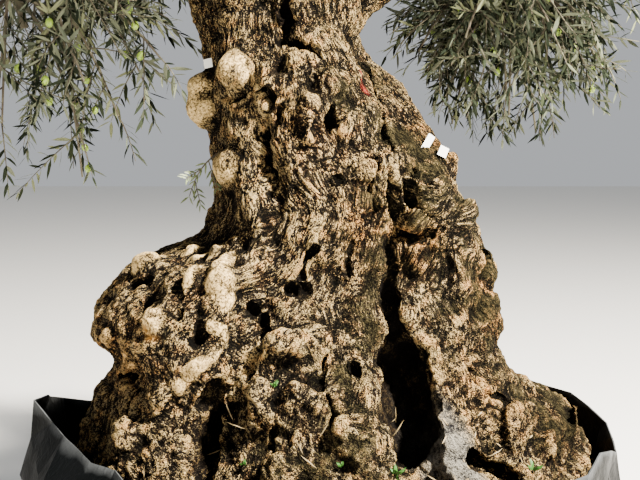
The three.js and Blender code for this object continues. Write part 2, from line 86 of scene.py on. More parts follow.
# The trunk, limbs and boughs have the forms that they have in the part's source.
# Sections of the trunk: height, middle across and front to back, half widths across and front to back.
TRUNK_SECTIONS = np.array([
    (0, 10, 10, 520, 430), (120, 5, 10, 478, 398), (260, -5, 10, 420, 358), (400, 0, 15, 375, 322),
    (520, 35, 20, 312, 288), (620, 40, 20, 280, 260), (740, 10, 20, 254, 232), (860, -40, 20, 216, 198),
    (980, -82, 15, 172, 164), (1080, -100, 10, 176, 152), (1140, -98, 12, 160, 140),
    (1190, -90, 14, 84, 78),
], float)
# Soft flutes: how many round the trunk, depth as a share of its width, and phase in half turns a metre.
FLUTES = ((5, 0.018, 1.1), (9, 0.014, -1.8))
# Swellings and dips: middle angle, half width, middle height, half height, how far out, sharpness of
# the edge, and lean in degrees per 100 mm.
SWELLINGS = (
    (-84, 46, 415, 112, 128, 5, 0), (-84, 46, 180, 120, 58, 3, 0), (-88, 30, 10, 90, 42, 2, 0),
    (-36, 13, 385, 130, 70, 5, 0), (-44, 16, 130, 160, 44, 3, 0), (-43, 9, 60, 220, 34, 2, 0),
    (-24, 5, 230, 170, -46, 2, 1.5), (-5, 22, 160, 230, 42, 3, 0), (-14, 5, 90, 150, -34, 2, 2),
    (12, 6, 110, 190, 36, 2, 0), (52, 20, 470, 210, 40, 3, 0), (42, 15, 630, 95, 56, 3, 0),
    (50, 20, 70, 190, 72, 3, 0), (34, 5, 90, 170, 44, 3, 0), (40, 4, 60, 110, -40, 2, 0),
    (92, 25, 105, 105, 112, 4, 0), (92, 24, 500, 130, 34, 3, 0), (66, 16, 800, 130, 38, 3, 14),
    (-8, 26, 620, 130, 20, 2, 4), (-37, 11, 610, 120, 36, 2, -3), (-27, 6, 730, 120, -38, 2, -1),
    (8, 30, 850, 90, 24, 3, 0), (-14, 16, 1060, 110, -24, 2, 0), (34, 20, 985, 70, 22, 2, 0),
    (132, 20, 60, 240, 76, 3, 0), (176, 15, 60, 330, 66, 3, 0), (-136, 16, 80, 260, 70, 3, 0),
    (154, 9, 330, 300, -54, 2, 3), (-158, 8, 420, 330, -48, 2, -3), (-160, 24, 760, 120, 34, 3, 0),
)
# Limbs of the fork: lower and upper end of the middle line, and the radius at each.
LIMBS = (
    ((6, -46, 980), (28, -46, 1210), (74, 72)),
    ((-182, -8, 950), (-216, -8, 1190), (78, 86)),
    ((-20, 40, 980), (62, 92, 1150), (80, 70)),
)
# Smooth pale burls: angle, height, half width, half height, how far out.
BURLS = (
    (-39, 914, 42, 42, 32), (-80, 888, 38, 36, 54), (-79, 834, 46, 44, 62), (-54, 702, 50, 44, 30),
    (-70, 496, 44, 30, 40), (-40, 488, 20, 30, 28), (-61, 527, 17, 17, 17),
    (-47, 531, 15, 17, 15), (-54, 519, 17, 13, 14), (-42, 407, 28, 32, 20), (-32, 482, 31, 30, 28),
    (-62, 352, 18, 20, 15),
    (-58, 302, 20, 20, 14), (168, 850, 62, 58, 42), (-136, 470, 74, 62, 36),
    (142, 600, 62, 76, 40),
)
# Long pale burls: half width, how far out, then angle and height from end to end.
LONG_BURLS = (
    (25, 26, ((-38, 524), (-34, 498), (-30, 472), (-28, 450))),
    (16, 18, ((-28, 400), (-25.5, 386), (-25.5, 362), (-28, 334), (-31, 308))),
    (12, 12, ((-33, 286), (-34, 270))),
)
# Knots and lumps that carry the same bark as the trunk round them.
KNOTS = (
    (2, 841, 18, 24, 28), (-1, 808, 20, 28, 36), (-4, 776, 17, 22, 28), (-14, 913, 17, 24, 20),
    (-16, 883, 18, 28, 22), (18, 888, 36, 40, 26), (2, 930, 26, 22, 18), (93, 474, 44, 40, 25),
    (20, 375, 19, 19, 20), (17, 790, 24, 46, 16), (39, 655, 40, 52, 24), (48, 606, 30, 46, 10),
    (58, 700, 28, 40, 10), (30, 560, 26, 70, 16), (46, 520, 40, 66, 18), (66, 470, 40, 60, 20),
    (60, 380, 44, 70, 20), (2, 372, 44, 40, 18), (-10, 352, 46, 44, 18), (-4, 255, 52, 50, 18),
    (8, 205, 40, 52, 18), (-14, 240, 30, 60, 16), (-40, 250, 34, 52, 22), (-46, 160, 40, 60, 22),
    (-62, 250, 40, 56, 18), (50, 170, 52, 62, 26), (62, 110, 56, 52, 16), (27, 320, 20, 26, 22),
    (31, 210, 16, 40, 14), (78, 140, 60, 46, 6),
    (46, 70, 40, 40, 24), (-8, 120, 44, 46, 18), (-52, 60, 50, 50, 22),
)
# Ropes of wood on the surface: half width, how far out, then angle and height from end to end.
ROPES = (
    (8, 9, ((19, 943), (31, 947), (38, 923), (37, 881), (33, 825), (29, 779))),
    (8, 8, ((41, 937), (45, 891), (39, 843))), (11, 15, ((4, 672), (12, 696), (18, 709), (26, 704))),
    (10, 13, ((24, 725), (21, 676), (19, 631), (22, 590))),
    (10, 13, ((28, 704), (28, 676), (27, 635), (27, 598))),
    (14, 16, ((33, 713), (33, 680), (33, 644), (36, 615))),
    (20, 14, ((-41, 670), (-35, 626), (-32, 590), (-27, 550))),
    (12, 13, ((17, 443), (19, 407), (20, 375))), (18, 13, ((13, 274), (12, 227), (9, 176), (8, 130))),
    (19, 20, ((32, 238), (30, 190), (30, 141), (29, 60))),
    (12, 12, ((30, 387), (34, 358), (37, 333), (35, 296))),
    (20, 12, ((55, 266), (70, 235), (85, 189))), (16, 12, ((-12, 700), (-8, 640), (-10, 570), (-4, 500))),
    (14, 10, ((-1, 720), (2, 660), (1, 600))), (16, 10, ((64, 580), (66, 540), (68, 490))),
    (18, 14, ((48, 540), (48, 500), (46, 440), (48, 350))), (15, 10, ((78, 800), (66, 740), (60, 680))),
)
# Deep dark grooves: half width, depth, then angle and height from end to end.
GROOVES = (
    (15, 60, ((8, 1080), (8, 1019), (4, 990), (-3, 966))),
    (10, 34, ((-2, 970), (5, 972), (14, 966), (19, 940))),
    (9, 30, ((-53, 868), (-43, 857), (-33, 864))), (17, 52, ((-21, 868), (-18, 853), (-19, 838))),
    (6, 22, ((-24, 935), (-22, 900), (-20, 870))), (12, 60, ((-12, 838), (-14, 818), (-17, 796))),
    (11, 48, ((12, 834), (9, 808), (6, 781))),
    (12, 50, ((-21, 836), (-30, 765), (-31, 712), (-29, 679), (-28, 646))),
    (8, 32, ((66, 940), (52, 875), (39, 809), (33, 762), (33, 733))),
    (6, 22, ((2, 682), (8, 704), (15, 719), (24, 729))),
    (6, 26, ((23, 716), (18, 684), (16, 651), (16, 615))),
    (9, 38, ((25, 695), (23, 643), (24, 598), (24, 561))),
    (9, 42, ((30, 690), (29, 660), (29, 615))), (22, 56, ((20, 572), (26, 566), (33, 574))),
    (13, 44, ((-66, 458), (-62, 466), (-57, 474))), (8, 28, ((-45, 498), (-44, 478), (-38, 450))),
    (12, 40, ((-31, 400), (-30, 381), (-31, 362))),
    (27, 70, ((-27, 262), (-29, 220), (-30, 162), (-28, 70))),
    (8, 34, ((-18, 412), (-16, 379), (-17, 344), (-21, 302), (-25, 263))),
    (17, 52, ((33, 141), (38, 120), (43, 105))),
    (10, 40, ((10, 323), (11, 307))), (17, 56, ((-62, 265), (-57, 258))),
    (12, 36, ((-52, 430), (-50, 400), (-52, 372))),
    (9, 30, ((-50, 250), (-53, 190), (-52, 120))), (8, 28, ((2, 340), (0, 290), (4, 240), (2, 190))),
    (8, 26, ((-9, 210), (-12, 160), (-10, 100))), (8, 20, ((58, 560), (60, 500), (56, 450))),
    (8, 24, ((44, 300), (48, 240), (58, 200))),
    (7, 22, ((-8, 560), (-12, 520), (-10, 480))), (7, 20, ((6, 570), (5, 520), (8, 470))),
    (12, 50, ((150, 700), (148, 600), (154, 480), (150, 360))),
    (12, 44, ((-160, 900), (-154, 800), (-160, 700))),
    (14, 56, ((-120, 300), (-118, 200), (-122, 90))), (11, 40, ((110, 420), (106, 320), (112, 200))),
    (10, 40, ((-98, 700), (-96, 600), (-104, 520))), (10, 36, ((176, 520), (-178, 420), (178, 300))),
    (9, 34, ((130, 900), (126, 800), (132, 700))), (9, 32, ((-110, 960), (-116, 880), (-108, 800))),
)
# Rot: points above the soil with the half width at each, and how many times deeper than wide it is.
HOLLOWS = (
    (2.3, ((156, -300, 378, 16), (160, -312, 345, 40), (168, -328, 306, 58), (176, -345, 250, 64),
           (184, -360, 190, 58), (190, -372, 140, 46))),
    (3.2, ((134, -262, 640, 7), (139, -270, 590, 14), (145, -278, 520, 17), (149, -288, 450, 21),
           (153, -300, 392, 25), (157, -312, 350, 32))),
    (2.6, ((-40, -320, 472, 15), (-26, -322, 468, 20), (-12, -322, 462, 12))),
)
# Round pits: angle, height, half width and depth.
PITS = (
    (-37, 418, 14, 46), (-23, 420, 11, 40), (43, 101, 20, 60), (-13, 470, 9, 26),
    (-64, 880, 14, 44), (35, 700, 9, 30), (-19, 300, 14, 40), (-52, 110, 14, 42),
    (62, 520, 10, 26), (80, 560, 10, 26), (160, 260, 30, 80), (-150, 520, 22, 60),
    (120, 330, 20, 54), (-126, 760, 16, 44), (110, 760, 14, 40),
)
# Boughs: the three points of the curve, and the radius at its root and tip.
BOUGHS = {
    "left": (((-196, -8, 1030), (-290, -30, 1390), (-520, -60, 1480)), (80, 32)),
    "right": (((10, -44, 1050), (80, -60, 1370), (510, 0, 1450)), (66, 30)),
    "back": (((8, 50, 990), (60, 220, 1320), (-60, 440, 1420)), (64, 27)),
    "top_left": (((-240, -14, 1200), (-220, 20, 1450), (-300, -40, 1620)), (54, 28)),
    "top_right": (((72, -52, 1240), (40, -60, 1450), (250, -30, 1590)), (52, 28)),
    "front": (((6, -70, 1140), (-60, -240, 1390), (-80, -380, 1450)), (44, 23)),
    "left_low": (((-180, 10, 1060), (-400, 80, 1310), (-600, 40, 1330)), (46, 20)),
    "back_left": (((-170, 30, 1050), (-320, 250, 1290), (-450, 330, 1320)), (44, 20)),
    "back_right": (((50, 150, 1150), (230, 310, 1270), (420, 390, 1270)), (42, 19)),
    "right_low": (((20, 60, 1010), (260, 170, 1240), (390, 150, 1225)), (40, 18)),
}
# Masses of foliage: middle, half sizes, branches in the source, droop, and fullness here.
MASSES = {
    "left": ((-780, -110, 1600), (430, 450, 390), 9, 0.10, 1.0),
    "left_low": ((-670, 10, 1020), (450, 320, 430), 9, 0.40, 0.6),
    "top_left": ((-330, -50, 1920), (460, 450, 370), 9, 0.05, 1.0),
    "top_right": ((330, -40, 1900), (460, 450, 370), 9, 0.05, 1.0),
    "right": ((780, -40, 1570), (430, 450, 380), 9, 0.10, 1.0),
    "right_low": ((460, 160, 1000), (330, 270, 270), 8, 0.35, 0.75),
    "front": ((-50, -590, 1610), (460, 380, 350), 9, 0.12, 1.0),
    "back": ((-20, 660, 1570), (470, 380, 390), 9, 0.15, 1.0),
    "back_left": ((-620, 500, 1350), (400, 380, 400), 8, 0.25, 0.9),
    "back_right": ((600, 540, 1300), (400, 380, 400), 8, 0.25, 0.9),
}
# Directions in which a mass has more branches: here towards the trunk.
MORE_BRANCHES = {"right_low": np.array([
    (-0.95, -0.2, 0.1), (-0.9, -0.1, -0.4), (-0.85, -0.3, 0.4), (-0.7, -0.7, 0.0), (-0.75, -0.5, -0.45),
])}
# The foliage grows by the source's rule, with its seeds, reaches and clearances.
FOLIAGE_SEED = 503
SEED_STEP = 17
SOURCE_LEAF_DRAWS = 30
BRANCH_REACH = 0.74
LEAF_REACH = 0.98
NEIGHBOUR_MARGIN = 0.05
LIMB_CLEARANCE = 14
CURVE_STEPS = 12
# How far a leaf or twig may pass the CAD box, in metres.
BOX_MARGIN = 0.01
# How far a mass's stem starts inside its bough's tip, in metres.
STEM_OVERLAP = 0.02
# The shoot on the trunk: its stem's three points, and how far the root is moved into the bark, in metres.
SHOOT_ON_TRUNK = ((-236, -34, 742), (-264, -60, 738), (-292, -60, 642))
SHOOT_ROOT_SHIFT = (0.04, 0, 0.006)
# Its side stems: where they fork off, as a share of the stem, and their reach in metres.
SHOOT_FORKS = ((0.45, (0.02, -0.02, -0.06)), (0.62, (-0.03, -0.02, -0.02)), (0.8, (0.015, -0.03, -0.05)))
# Where the leaves of the stem and of each side stem start, and how many pairs it has.
SHOOT_PAIRS = ((0.5, 6), (0.3, 4), (0.3, 4), (0.3, 4))

# The pot's rim: angle round it, height above the soil, how far it flops in.
RIM = np.array([
    (-180, 84, 6), (-146, 72, 8), (-117, 87, 2), (-104, 123, 0), (-98, 148, 0), (-90, 176, 2),
    (-80, 188, 22), (-74, 156, 56), (-60, 145, 72), (-50, 138, 68), (-42, 143, 56), (-30, 140, 34),
    (-12, 96, 24), (8, 78, 10),
    (30, 104, 12), (45, 128, 8), (60, 150, 2), (72, 96, 0), (86, 100, 0), (96, 124, 0),
    (109, 136, 2), (146, 96, 8), (180, 84, 6),
], float)
# The pot's wall: radii, and soft folds as how many, their share of the depth and their phase.
POT_FOOT_RADIUS = 585
POT_TOP_RADIUS = 664
POT_FOLDS = ((9, 0.6, 0.7), (14, 0.4, 2.1))
POT_FOLD_DEPTH = 9
# The film's net of facets: columns round it, rows in all, and rows that cross the floor.
FILM_COLUMNS = 44
FILM_ROWS = 12
FILM_FLOOR_ROWS = 3
# The film's folds are sharp from this angle in degrees.
FOLD_ANGLE = 9
# How far the root ball stands clear of the pot's wall and floor.
SOIL_WALL_GAP = 16
SOIL_FLOOR_GAP = 9

# Where moss grows: angle, half width, height, half height, how thick.
MOSS = (
    (66, 24, 470, 260, 1.2), (19, 9, 880, 44, 1.3), (40, 10, 780, 70, 1.1), (58, 12, 900, 60, 0.5),
    (78, 24, 130, 70, 0.9), (8, 10, 240, 150, 0.6), (-6, 12, 130, 60, 0.55), (30, 16, 640, 100, 0.75),
    (18, 7, 430, 90, 0.9), (-30, 14, 960, 60, 0.3), (150, 40, 300, 260, 0.6), (-150, 40, 500, 300, 0.5),
    (12, 8, 560, 120, 0.6), (20, 10, 1080, 60, 0.5),
)
# Bare grey wood, golden patches, a rusty scar and red paint: angle, half width, height, half height and
# amount of each.
DEAD_WOOD = ((30.5, 4.6, 110, 150, 1.0), (26, 3, 60, 90, 0.6))
WARM = ((57, 10, 420, 110, 0.7), (10, 9, 590, 80, 0.7), (68, 14, 140, 60, 0.8), (30, 8, 545, 50, 0.8),
        (44, 8, 250, 60, 0.6), (58, 9, 770, 60, 1.0), (-4, 12, 790, 60, 0.4), (-60, 20, 300, 80, 0.4))
RUST_SCAR = ((-41, 1.2, 392, 9, 1.2), (-40, 1.1, 376, 8, 1.2))
PAINT = ((39, 0.8, 908, 6, 1.0), (38, 0.6, 893, 4, 0.7), (37, 0.9, 874, 8, 1.0))

# Blank plant tags: angle, height, width, height of the tag, and its tilt in degrees.
TAGS = ((52, 760, 17, 40, 32), (54, 742, 22, 22, 24), (-67, 936, 22, 20, -10))
# Weeds: angle, height and length of their leaves.
WEEDS = ((4, 143, 16), (47, 103, 26), (-11, 286, 14), (16, 120, 24), (-86, 400, 12), (-18, 130, 14))
WEED_LEAVES = 7
STRAWS = 80

# The bark's own grain: it is wound on a cylinder of this radius in metres and drawn out along the strands.
GRAIN_RADIUS = 0.30
GRAIN_STRETCH = 3.4
# Where the strands slant: angle, height, and degrees per millimetre.
GRAIN_SLANTS = ((-22, 680, 0.16), (30, 640, -0.10))
# Millimetres of the trunk's skin in one degree.
MM_PER_DEGREE = 5.2
# What the bark stores at its points for its material, besides its grain.
BARK_MASKS = ("pale", "burl", "moss", "dead", "rust", "warm", "paint", "hollow", "loose")
# Sizes in metres of the voxels that melt the wood's forms together, and the rot's.
WOOD_VOXEL = 0.006
ROT_VOXEL = 0.005
# Where the bark is divided into pieces, in metres.
FOOT_TOP = 0.79
WAIST_TOP = 1.04
BOUGHS_FROM = 1.64
MIDDLE_ACROSS = -0.02
MIDDLE_DEPTH = 0.02

# The photograph's frame: its width and the focal length in pixels, and the camera's place and dip.
PHOTO_WIDTH = 640
FOCAL_LENGTH = 1003
CAMERA_PLACE = (0, -2.300, 1.316)
CAMERA_DIP = 5.4
# Where the lamps point.
LAMP_TARGET = (0, 0, 1.15)


def linear(code):
    """The linear colour of an sRGB hex value."""
    parts = [int(code[i:i + 2], 16) / 255 for i in (1, 3, 5)]
    return tuple(c / 12.92 if c <= 0.04045 else ((c + 0.055) / 1.055) ** 2.4 for c in parts)


def solid(colour, strength=1.0):
    """A linear colour at a strength, with its alpha."""
    return (*(strength * part for part in colour), 1)


def colour_setting(name, description, code):
    """A colour in the panel, its default an sRGB hex value."""
    return bpy.props.FloatVectorProperty(
        name=name, description=description, subtype="COLOR", size=3, min=0, max=1, default=linear(code))


def length_setting(name, description, default, low, high):
    """A length in the panel, in metres."""
    return bpy.props.FloatProperty(
        name=name, description=description, default=default, min=low, max=high, precision=4, unit="LENGTH")


class OliveBark(bpy.types.PropertyGroup):
    """Sizes and colours of the bark."""

    grain: length_setting("Mesh grain", "Size of the faces of the bark mesh", 0.0040, 0.003, 0.02)
    depth: length_setting(
        "Crack depth", "Depth of the long cracks between the strands of bark", 0.0040, 0, 0.03)
    strand: length_setting("Strand width", "Distance from one long crack to the next", 0.016, 0.01, 0.1)
    # Near black: painted shade in the cracks and dips of the bark.
    crack_shade: colour_setting("Cracks", "Colour in the cracks", "#040302")
    weathered: colour_setting("Weathered bark", "Colour of the bark's flanks", "#1a140e")
    ridge: colour_setting("Ridges", "Colour of the worn ridges", "#2f271d")
    crest: colour_setting("Crests", "Colour of the palest flakes", "#a88c5d")
    burl: colour_setting("Burls", "Colour of the smooth burls", "#cbac73")
    moss: colour_setting("Moss", "Colour of the moss", "#37321f")
    dead: colour_setting("Dead wood", "Colour of the bare grey wood", "#7b766b")


class OliveFoliage(bpy.types.PropertyGroup):
    """Sizes and colours of the foliage."""

    branches: bpy.props.IntProperty(
        name="Fine branches", description="Fine branches in a mass, besides those of the plain solid",
        default=30, min=0, max=200)
    shoots: bpy.props.IntProperty(
        name="Shoots", description="Leafy shoots on each branch", default=8, min=1, max=40)
    leaf_length: length_setting("Leaf length", "Length of a full-grown leaf", 0.054, 0.01, 0.2)
    leaf_width: length_setting("Leaf width", "Width of a full-grown leaf", 0.0092, 0.002, 0.05)
    pair_gap: length_setting(
        "Pair spacing", "Distance along a shoot from one pair of leaves to the next", 0.0165, 0.004, 0.05)
    olives: bpy.props.IntProperty(
        name="Olives", description="Fruit in the whole crown", default=220, min=0, max=600)
    olive_length: length_setting("Olive length", "Length of an olive", 0.021, 0.005, 0.05)
    upper: colour_setting("Leaf, upper side", "Colour of the waxy upper side", "#21261b")
    under: colour_setting("Leaf, under side", "Colour of the felted silvery under side", "#5a5e4c")
    fruit: colour_setting("Olive", "Colour of the unripe fruit", "#7c9c2c")
    twig: colour_setting("Twigs", "Colour of the young twigs", "#65604a")


class OlivePot(bpy.types.PropertyGroup):
    """Sizes and colours of the pot and the soil."""

    film: length_setting("Film", "Thickness of the pot's wall", 0.003, 0.001, 0.006)
    crumple: length_setting("Crumple", "How far the wall is creased in and out", 0.024, 0, 0.03)
    plastic: colour_setting("Plastic", "Colour of the black film", "#030404")
    earth: colour_setting("Soil", "Colour of the dry soil", "#261d14")
    litter: bpy.props.IntProperty(
        name="Dry leaves", description="Fallen leaves on the soil", default=900, min=0, max=4000)


class OliveStage(bpy.types.PropertyGroup):
    """Floor, light and camera."""

    floor: colour_setting("Floor", "Colour of the floor", "#e6e4df")
    key_power: bpy.props.FloatProperty(
        name="Key light", description="Power of the main light", default=7600, min=0, unit="POWER")
    fill_power: bpy.props.FloatProperty(
        name="Fill light", description="Power of the fill light", default=25, min=0, unit="POWER")
    sky: bpy.props.FloatProperty(
        name="Surround", description="Strength of the light from all round", default=0.52, min=0)


def even_directions(count):
    """Unit vectors spread evenly over a ball."""
    steps = np.arange(count) + 0.5
    rise = 1 - 2 * steps / count
    level = np.sqrt(1 - rise * rise)
    turn = steps * GOLDEN_ANGLE
    return np.column_stack((level * np.cos(turn), level * np.sin(turn), rise))


SLOPES = even_directions(256)


def noise(points, size, seed):
    """Smooth noise from about -1 to 1 with lumps of a size, which may differ along the three axes."""
    spot = points / size
    cell = np.floor(spot).astype(np.int64)
    part = spot - cell
    ease = part ** 3 * (part * (part * 6 - 15) + 10)
    total = np.zeros(len(points))
    # Large odd factors mix a cell's place and the seed into the number of its slope.
    for corner in np.ndindex(2, 2, 2):
        at = cell + corner
        key = (at[:, 0] * 73856093) ^ (at[:, 1] * 19349663) ^ (at[:, 2] * 83492791) ^ (seed * 2654435761)
        key = ((key ^ (key >> 13)) * 1274126177) & 0xFFFFFFFF
        slope = SLOPES[(key ^ (key >> 15)) & 255]
        weight = np.where(corner, ease, 1 - ease).prod(1)
        total += weight * ((part - corner) * slope).sum(1)
    return total * 1.7


def spread(gap, width):
    """1 where a gap is nothing, easing to 0 past a width."""
    return np.exp(-(gap / width) ** 2)


def swirl(points, size, seed):
    """Offsets made of three noises, with seeds in a row."""
    return np.column_stack([noise(points, size, seed + axis) for axis in range(3)])


def wrap_degrees(degrees):
    return (degrees + 180) % 360 - 180


def to_metres(points):
    """Millimetres above the soil to metres above the floor."""
    return np.asarray(points, float) * MM + (0, 0, WOOD_FOOT)


def between(ends, share):
    """The value at a share of the way from the first end to the second."""
    return ends[0] + (ends[1] - ends[0]) * share


def unit(vectors):
    return vectors / np.maximum(np.linalg.norm(vectors, axis=-1, keepdims=True), 1e-12)


def squared(vectors, directions):
    """Unit vectors turned square to their directions."""
    return unit(vectors - (vectors * directions).sum(1, keepdims=True) * directions)


def square_pair(headings, upright):
    """Two directions square to each heading and to each other."""
    side = unit(np.cross(headings, upright))
    return side, np.cross(side, headings)


def round_pot(angle, radius, height):
    """Points in metres at an angle round the pot, from its front, and a radius and height in millimetres."""
    return np.column_stack((radius * np.sin(angle), -radius * np.cos(angle), height)) * MM


def bezier(ends, share):
    """Points of curves given as (..., 3 ends, xyz) at shares of their length."""
    ends = np.asarray(ends, float)
    share = np.asarray(share, float)[..., None]
    return (1 - share) ** 2 * ends[..., 0, :] + 2 * share * (1 - share) * ends[..., 1, :] \
        + share ** 2 * ends[..., 2, :]


def bezier_heading(ends, share):
    ends = np.asarray(ends, float)
    share = np.asarray(share, float)[..., None]
    return unit((1 - share) * (ends[..., 1, :] - ends[..., 0, :])
                + share * (ends[..., 2, :] - ends[..., 1, :]))


def add_object(name, mesh, materials, slot, *nodes):
    """A finished piece: it rides on the one body and stands for the nodes it replaces."""
    piece = bpy.data.objects.new(name, mesh)
    bpy.context.scene.collection.objects.link(piece)
    for skin in materials:
        mesh.materials.append(skin)
    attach(piece, "root")
    if nodes:
        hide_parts(*nodes)


def mesh_of(name, points, faces, slots=None, smooth=True):
    """A mesh from an array of points and a list of arrays of faces, one array for each number of sides."""
    mesh = bpy.data.meshes.new(name)
    mesh.vertices.add(len(points))
    mesh.vertices.foreach_set("co", np.asarray(points, np.float32).ravel())
    corners = np.concatenate([part.ravel() for part in faces]).astype(np.int32)
    sides = np.concatenate([np.full(len(part), part.shape[1]) for part in faces])
    mesh.loops.add(len(corners))
    mesh.loops.foreach_set("vertex_index", corners)
    mesh.polygons.add(len(sides))
    mesh.polygons.foreach_set("loop_start", (np.cumsum(sides) - sides).astype(np.int32))
    if slots is not None:
        mesh.polygons.foreach_set("material_index", np.asarray(slots, np.int32))
    mesh.polygons.foreach_set("use_smooth", np.full(len(sides), smooth))
    mesh.update(calc_edges=True)
    return mesh


def mesh_from(bm, name):
    """Turns a bmesh into a mesh."""
    mesh = bpy.data.meshes.new(name)
    bm.to_mesh(mesh)
    bm.free()
    return mesh


def points_of_bmesh(bm):
    return np.array([vertex.co[:] for vertex in bm.verts])


def points_of(mesh):
    flat = np.empty(len(mesh.vertices) * 3, np.float32)
    mesh.vertices.foreach_get("co", flat)
    return flat.reshape(-1, 3).astype(float)


def normals_of(mesh):
    flat = np.empty(len(mesh.vertices) * 3, np.float32)
    mesh.vertex_normals.foreach_get("vector", flat)
    return flat.reshape(-1, 3).astype(float)


def edges_of(mesh):
    flat = np.empty(len(mesh.edges) * 2, np.int32)
    mesh.edges.foreach_get("vertices", flat)
    return flat.reshape(-1, 2)


def set_points(mesh, points):
    mesh.vertices.foreach_set("co", points.astype(np.float32).ravel())
    mesh.update()


def store(mesh, name, values):
    mesh.attributes.new(name, "FLOAT", "POINT").data.foreach_set("value", values.astype(np.float32))


def store_vectors(mesh, name, values):
    made = mesh.attributes.new(name, "FLOAT_VECTOR", "POINT")
    made.data.foreach_set("vector", values.astype(np.float32).ravel())


def neighbours_mean(values, edges):
    """The mean of each vertex's neighbours."""
    count = np.bincount(edges.ravel(), minlength=len(values))
    flat = values.reshape(len(values), -1)
    sums = np.column_stack([
        np.bincount(edges[:, 0], column[edges[:, 1]], len(values))
        + np.bincount(edges[:, 1], column[edges[:, 0]], len(values)) for column in flat.T])
    return (sums / np.maximum(count, 1)[:, None]).reshape(values.shape)


def smoothed(values, edges, rounds):
    for _ in range(rounds):
        values = neighbours_mean(values, edges)
    return values


def in_main_part(mesh):
    """Whether each vertex hangs together with most others, and isn't in a loose crumb."""
    edges = edges_of(mesh)
    label = np.arange(len(mesh.vertices))
    settled = False
    while not settled:
        lower = label.copy()
        np.minimum.at(lower, label[edges[:, 0]], label[edges[:, 1]])
        np.minimum.at(lower, label[edges[:, 1]], label[edges[:, 0]])
        lower = lower[lower]
        settled = (lower == label).all()
        label = lower
    return label == np.bincount(label).argmax()


def finished(mesh, name, *modifiers):
    """The mesh after modifiers, each given as its kind and its settings."""
    carrier = bpy.data.objects.new(name, mesh)
    bpy.context.scene.collection.objects.link(carrier)
    for kind, settings in modifiers:
        modifier = carrier.modifiers.new(kind, kind)
        for key, value in settings.items():
            setattr(modifier, key, value)
    bpy.context.view_layer.update()
    result = bpy.data.meshes.new_from_object(
        carrier.evaluated_get(bpy.context.evaluated_depsgraph_get()))
    bpy.data.objects.remove(carrier)
    return result


def sheet(columns, rows, place, closed_ends=True):
    """A grid bent round into a tube, its seam and poles welded and its open ends filled."""
    bm = bmesh.new()
    bmesh.ops.create_grid(bm, x_segments=columns, y_segments=rows, size=1)
    flat = points_of_bmesh(bm)
    bent = place((flat[:, 0] + 1) / 2, (flat[:, 1] + 1) / 2)
    for vertex, at in zip(bm.verts, bent):
        vertex.co = at
    bmesh.ops.remove_doubles(bm, verts=bm.verts, dist=1e-6)
    if closed_ends:
        rim = [edge for edge in bm.edges if edge.is_boundary]
        if rim:
            bmesh.ops.edgeloop_fill(bm, edges=rim)
    bmesh.ops.recalc_face_normals(bm, faces=bm.faces)
    return bm


def take(whole, part):
    """Moves the faces of one bmesh to another."""
    scrap = mesh_from(part, "scrap")
    whole.from_mesh(scrap)
    bpy.data.meshes.remove(scrap)


def material(name):
    """A new material, its node tree and its shader."""
    made = bpy.data.materials.new(name)
    made.use_nodes = True
    return made, made.node_tree, made.node_tree.nodes["Principled BSDF"]


def feed(tree, node, inputs):
    """Gives a node's inputs their values, or links the sockets that feed them."""
    for key, value in inputs.items():
        if isinstance(value, bpy.types.NodeSocket):
            tree.links.new(value, node.inputs[key])
        else:
            node.inputs[key].default_value = value


def add(tree, kind, inputs, output=0, stops=(), **settings):
    """Adds a node with its inputs, settings and any colour stops, and gives one of its outputs."""
    made = tree.nodes.new(kind)
    for key, value in settings.items():
        setattr(made, key, value)
    feed(tree, made, inputs)
    if stops:
        elements = made.color_ramp.elements
        while len(elements) < len(stops):
            elements.new(1)
        for element, (at, colour) in zip(elements, stops):
            element.position = at
            element.color = solid(colour[:3])
    return made.outputs[output]


def plain_material(name, colour, inputs):
    """A material of one colour, with the shader's other inputs."""
    made, tree, shader = material(name)
    feed(tree, shader, {"Base Color": solid(colour), **inputs})
    return made


def section_at(height):
    return [np.interp(height, TRUNK_SECTIONS[:, 0], TRUNK_SECTIONS[:, i]) for i in range(1, 5)]


def bump_field(table, angle, height):
    """Sum of soft patches at angles in degrees and heights in millimetres."""
    return sum(amount * spread(wrap_degrees(angle - middle), wide) * spread(height - level, tall)
               for middle, wide, level, tall, amount in table)


def trunk_form(angle, height):
    """A point of the trunk's core, in millimetres above the soil, at an angle in radians."""
    cx, cy, rx, ry = section_at(height)
    degrees = np.degrees(angle)
    out = 0
    for middle, wide, level, tall, far, edge, lean in SWELLINGS:
        aside = np.abs(wrap_degrees(degrees - middle - lean * (height - level) / 100) / wide) ** edge
        out = out + far * np.exp(-aside - np.abs((height - level) / tall) ** edge)
    fluting = 1 + sum(depth * np.cos(count * angle + twist * height / 1000 * np.pi)
                      for count, depth, twist in FLUTES)
    return np.stack((cx + (rx * fluting + out) * np.sin(angle),
                     cy - (ry * fluting + out) * np.cos(angle),
                     height + 0 * cx), -1)


def on_bark(angle, height):
    """A point of the trunk's core in metres above the floor, at an angle in radians."""
    return to_metres(trunk_form(angle, height))


def trunk_core():
    """The trunk's core, closed at both ends, from 10 mm under its foot to 1190 mm over it."""
    def place(u, v):
        return on_bark((u * 2 - 1) * np.pi, -10 + 1200 * v)
    return sheet(220, 150, place)


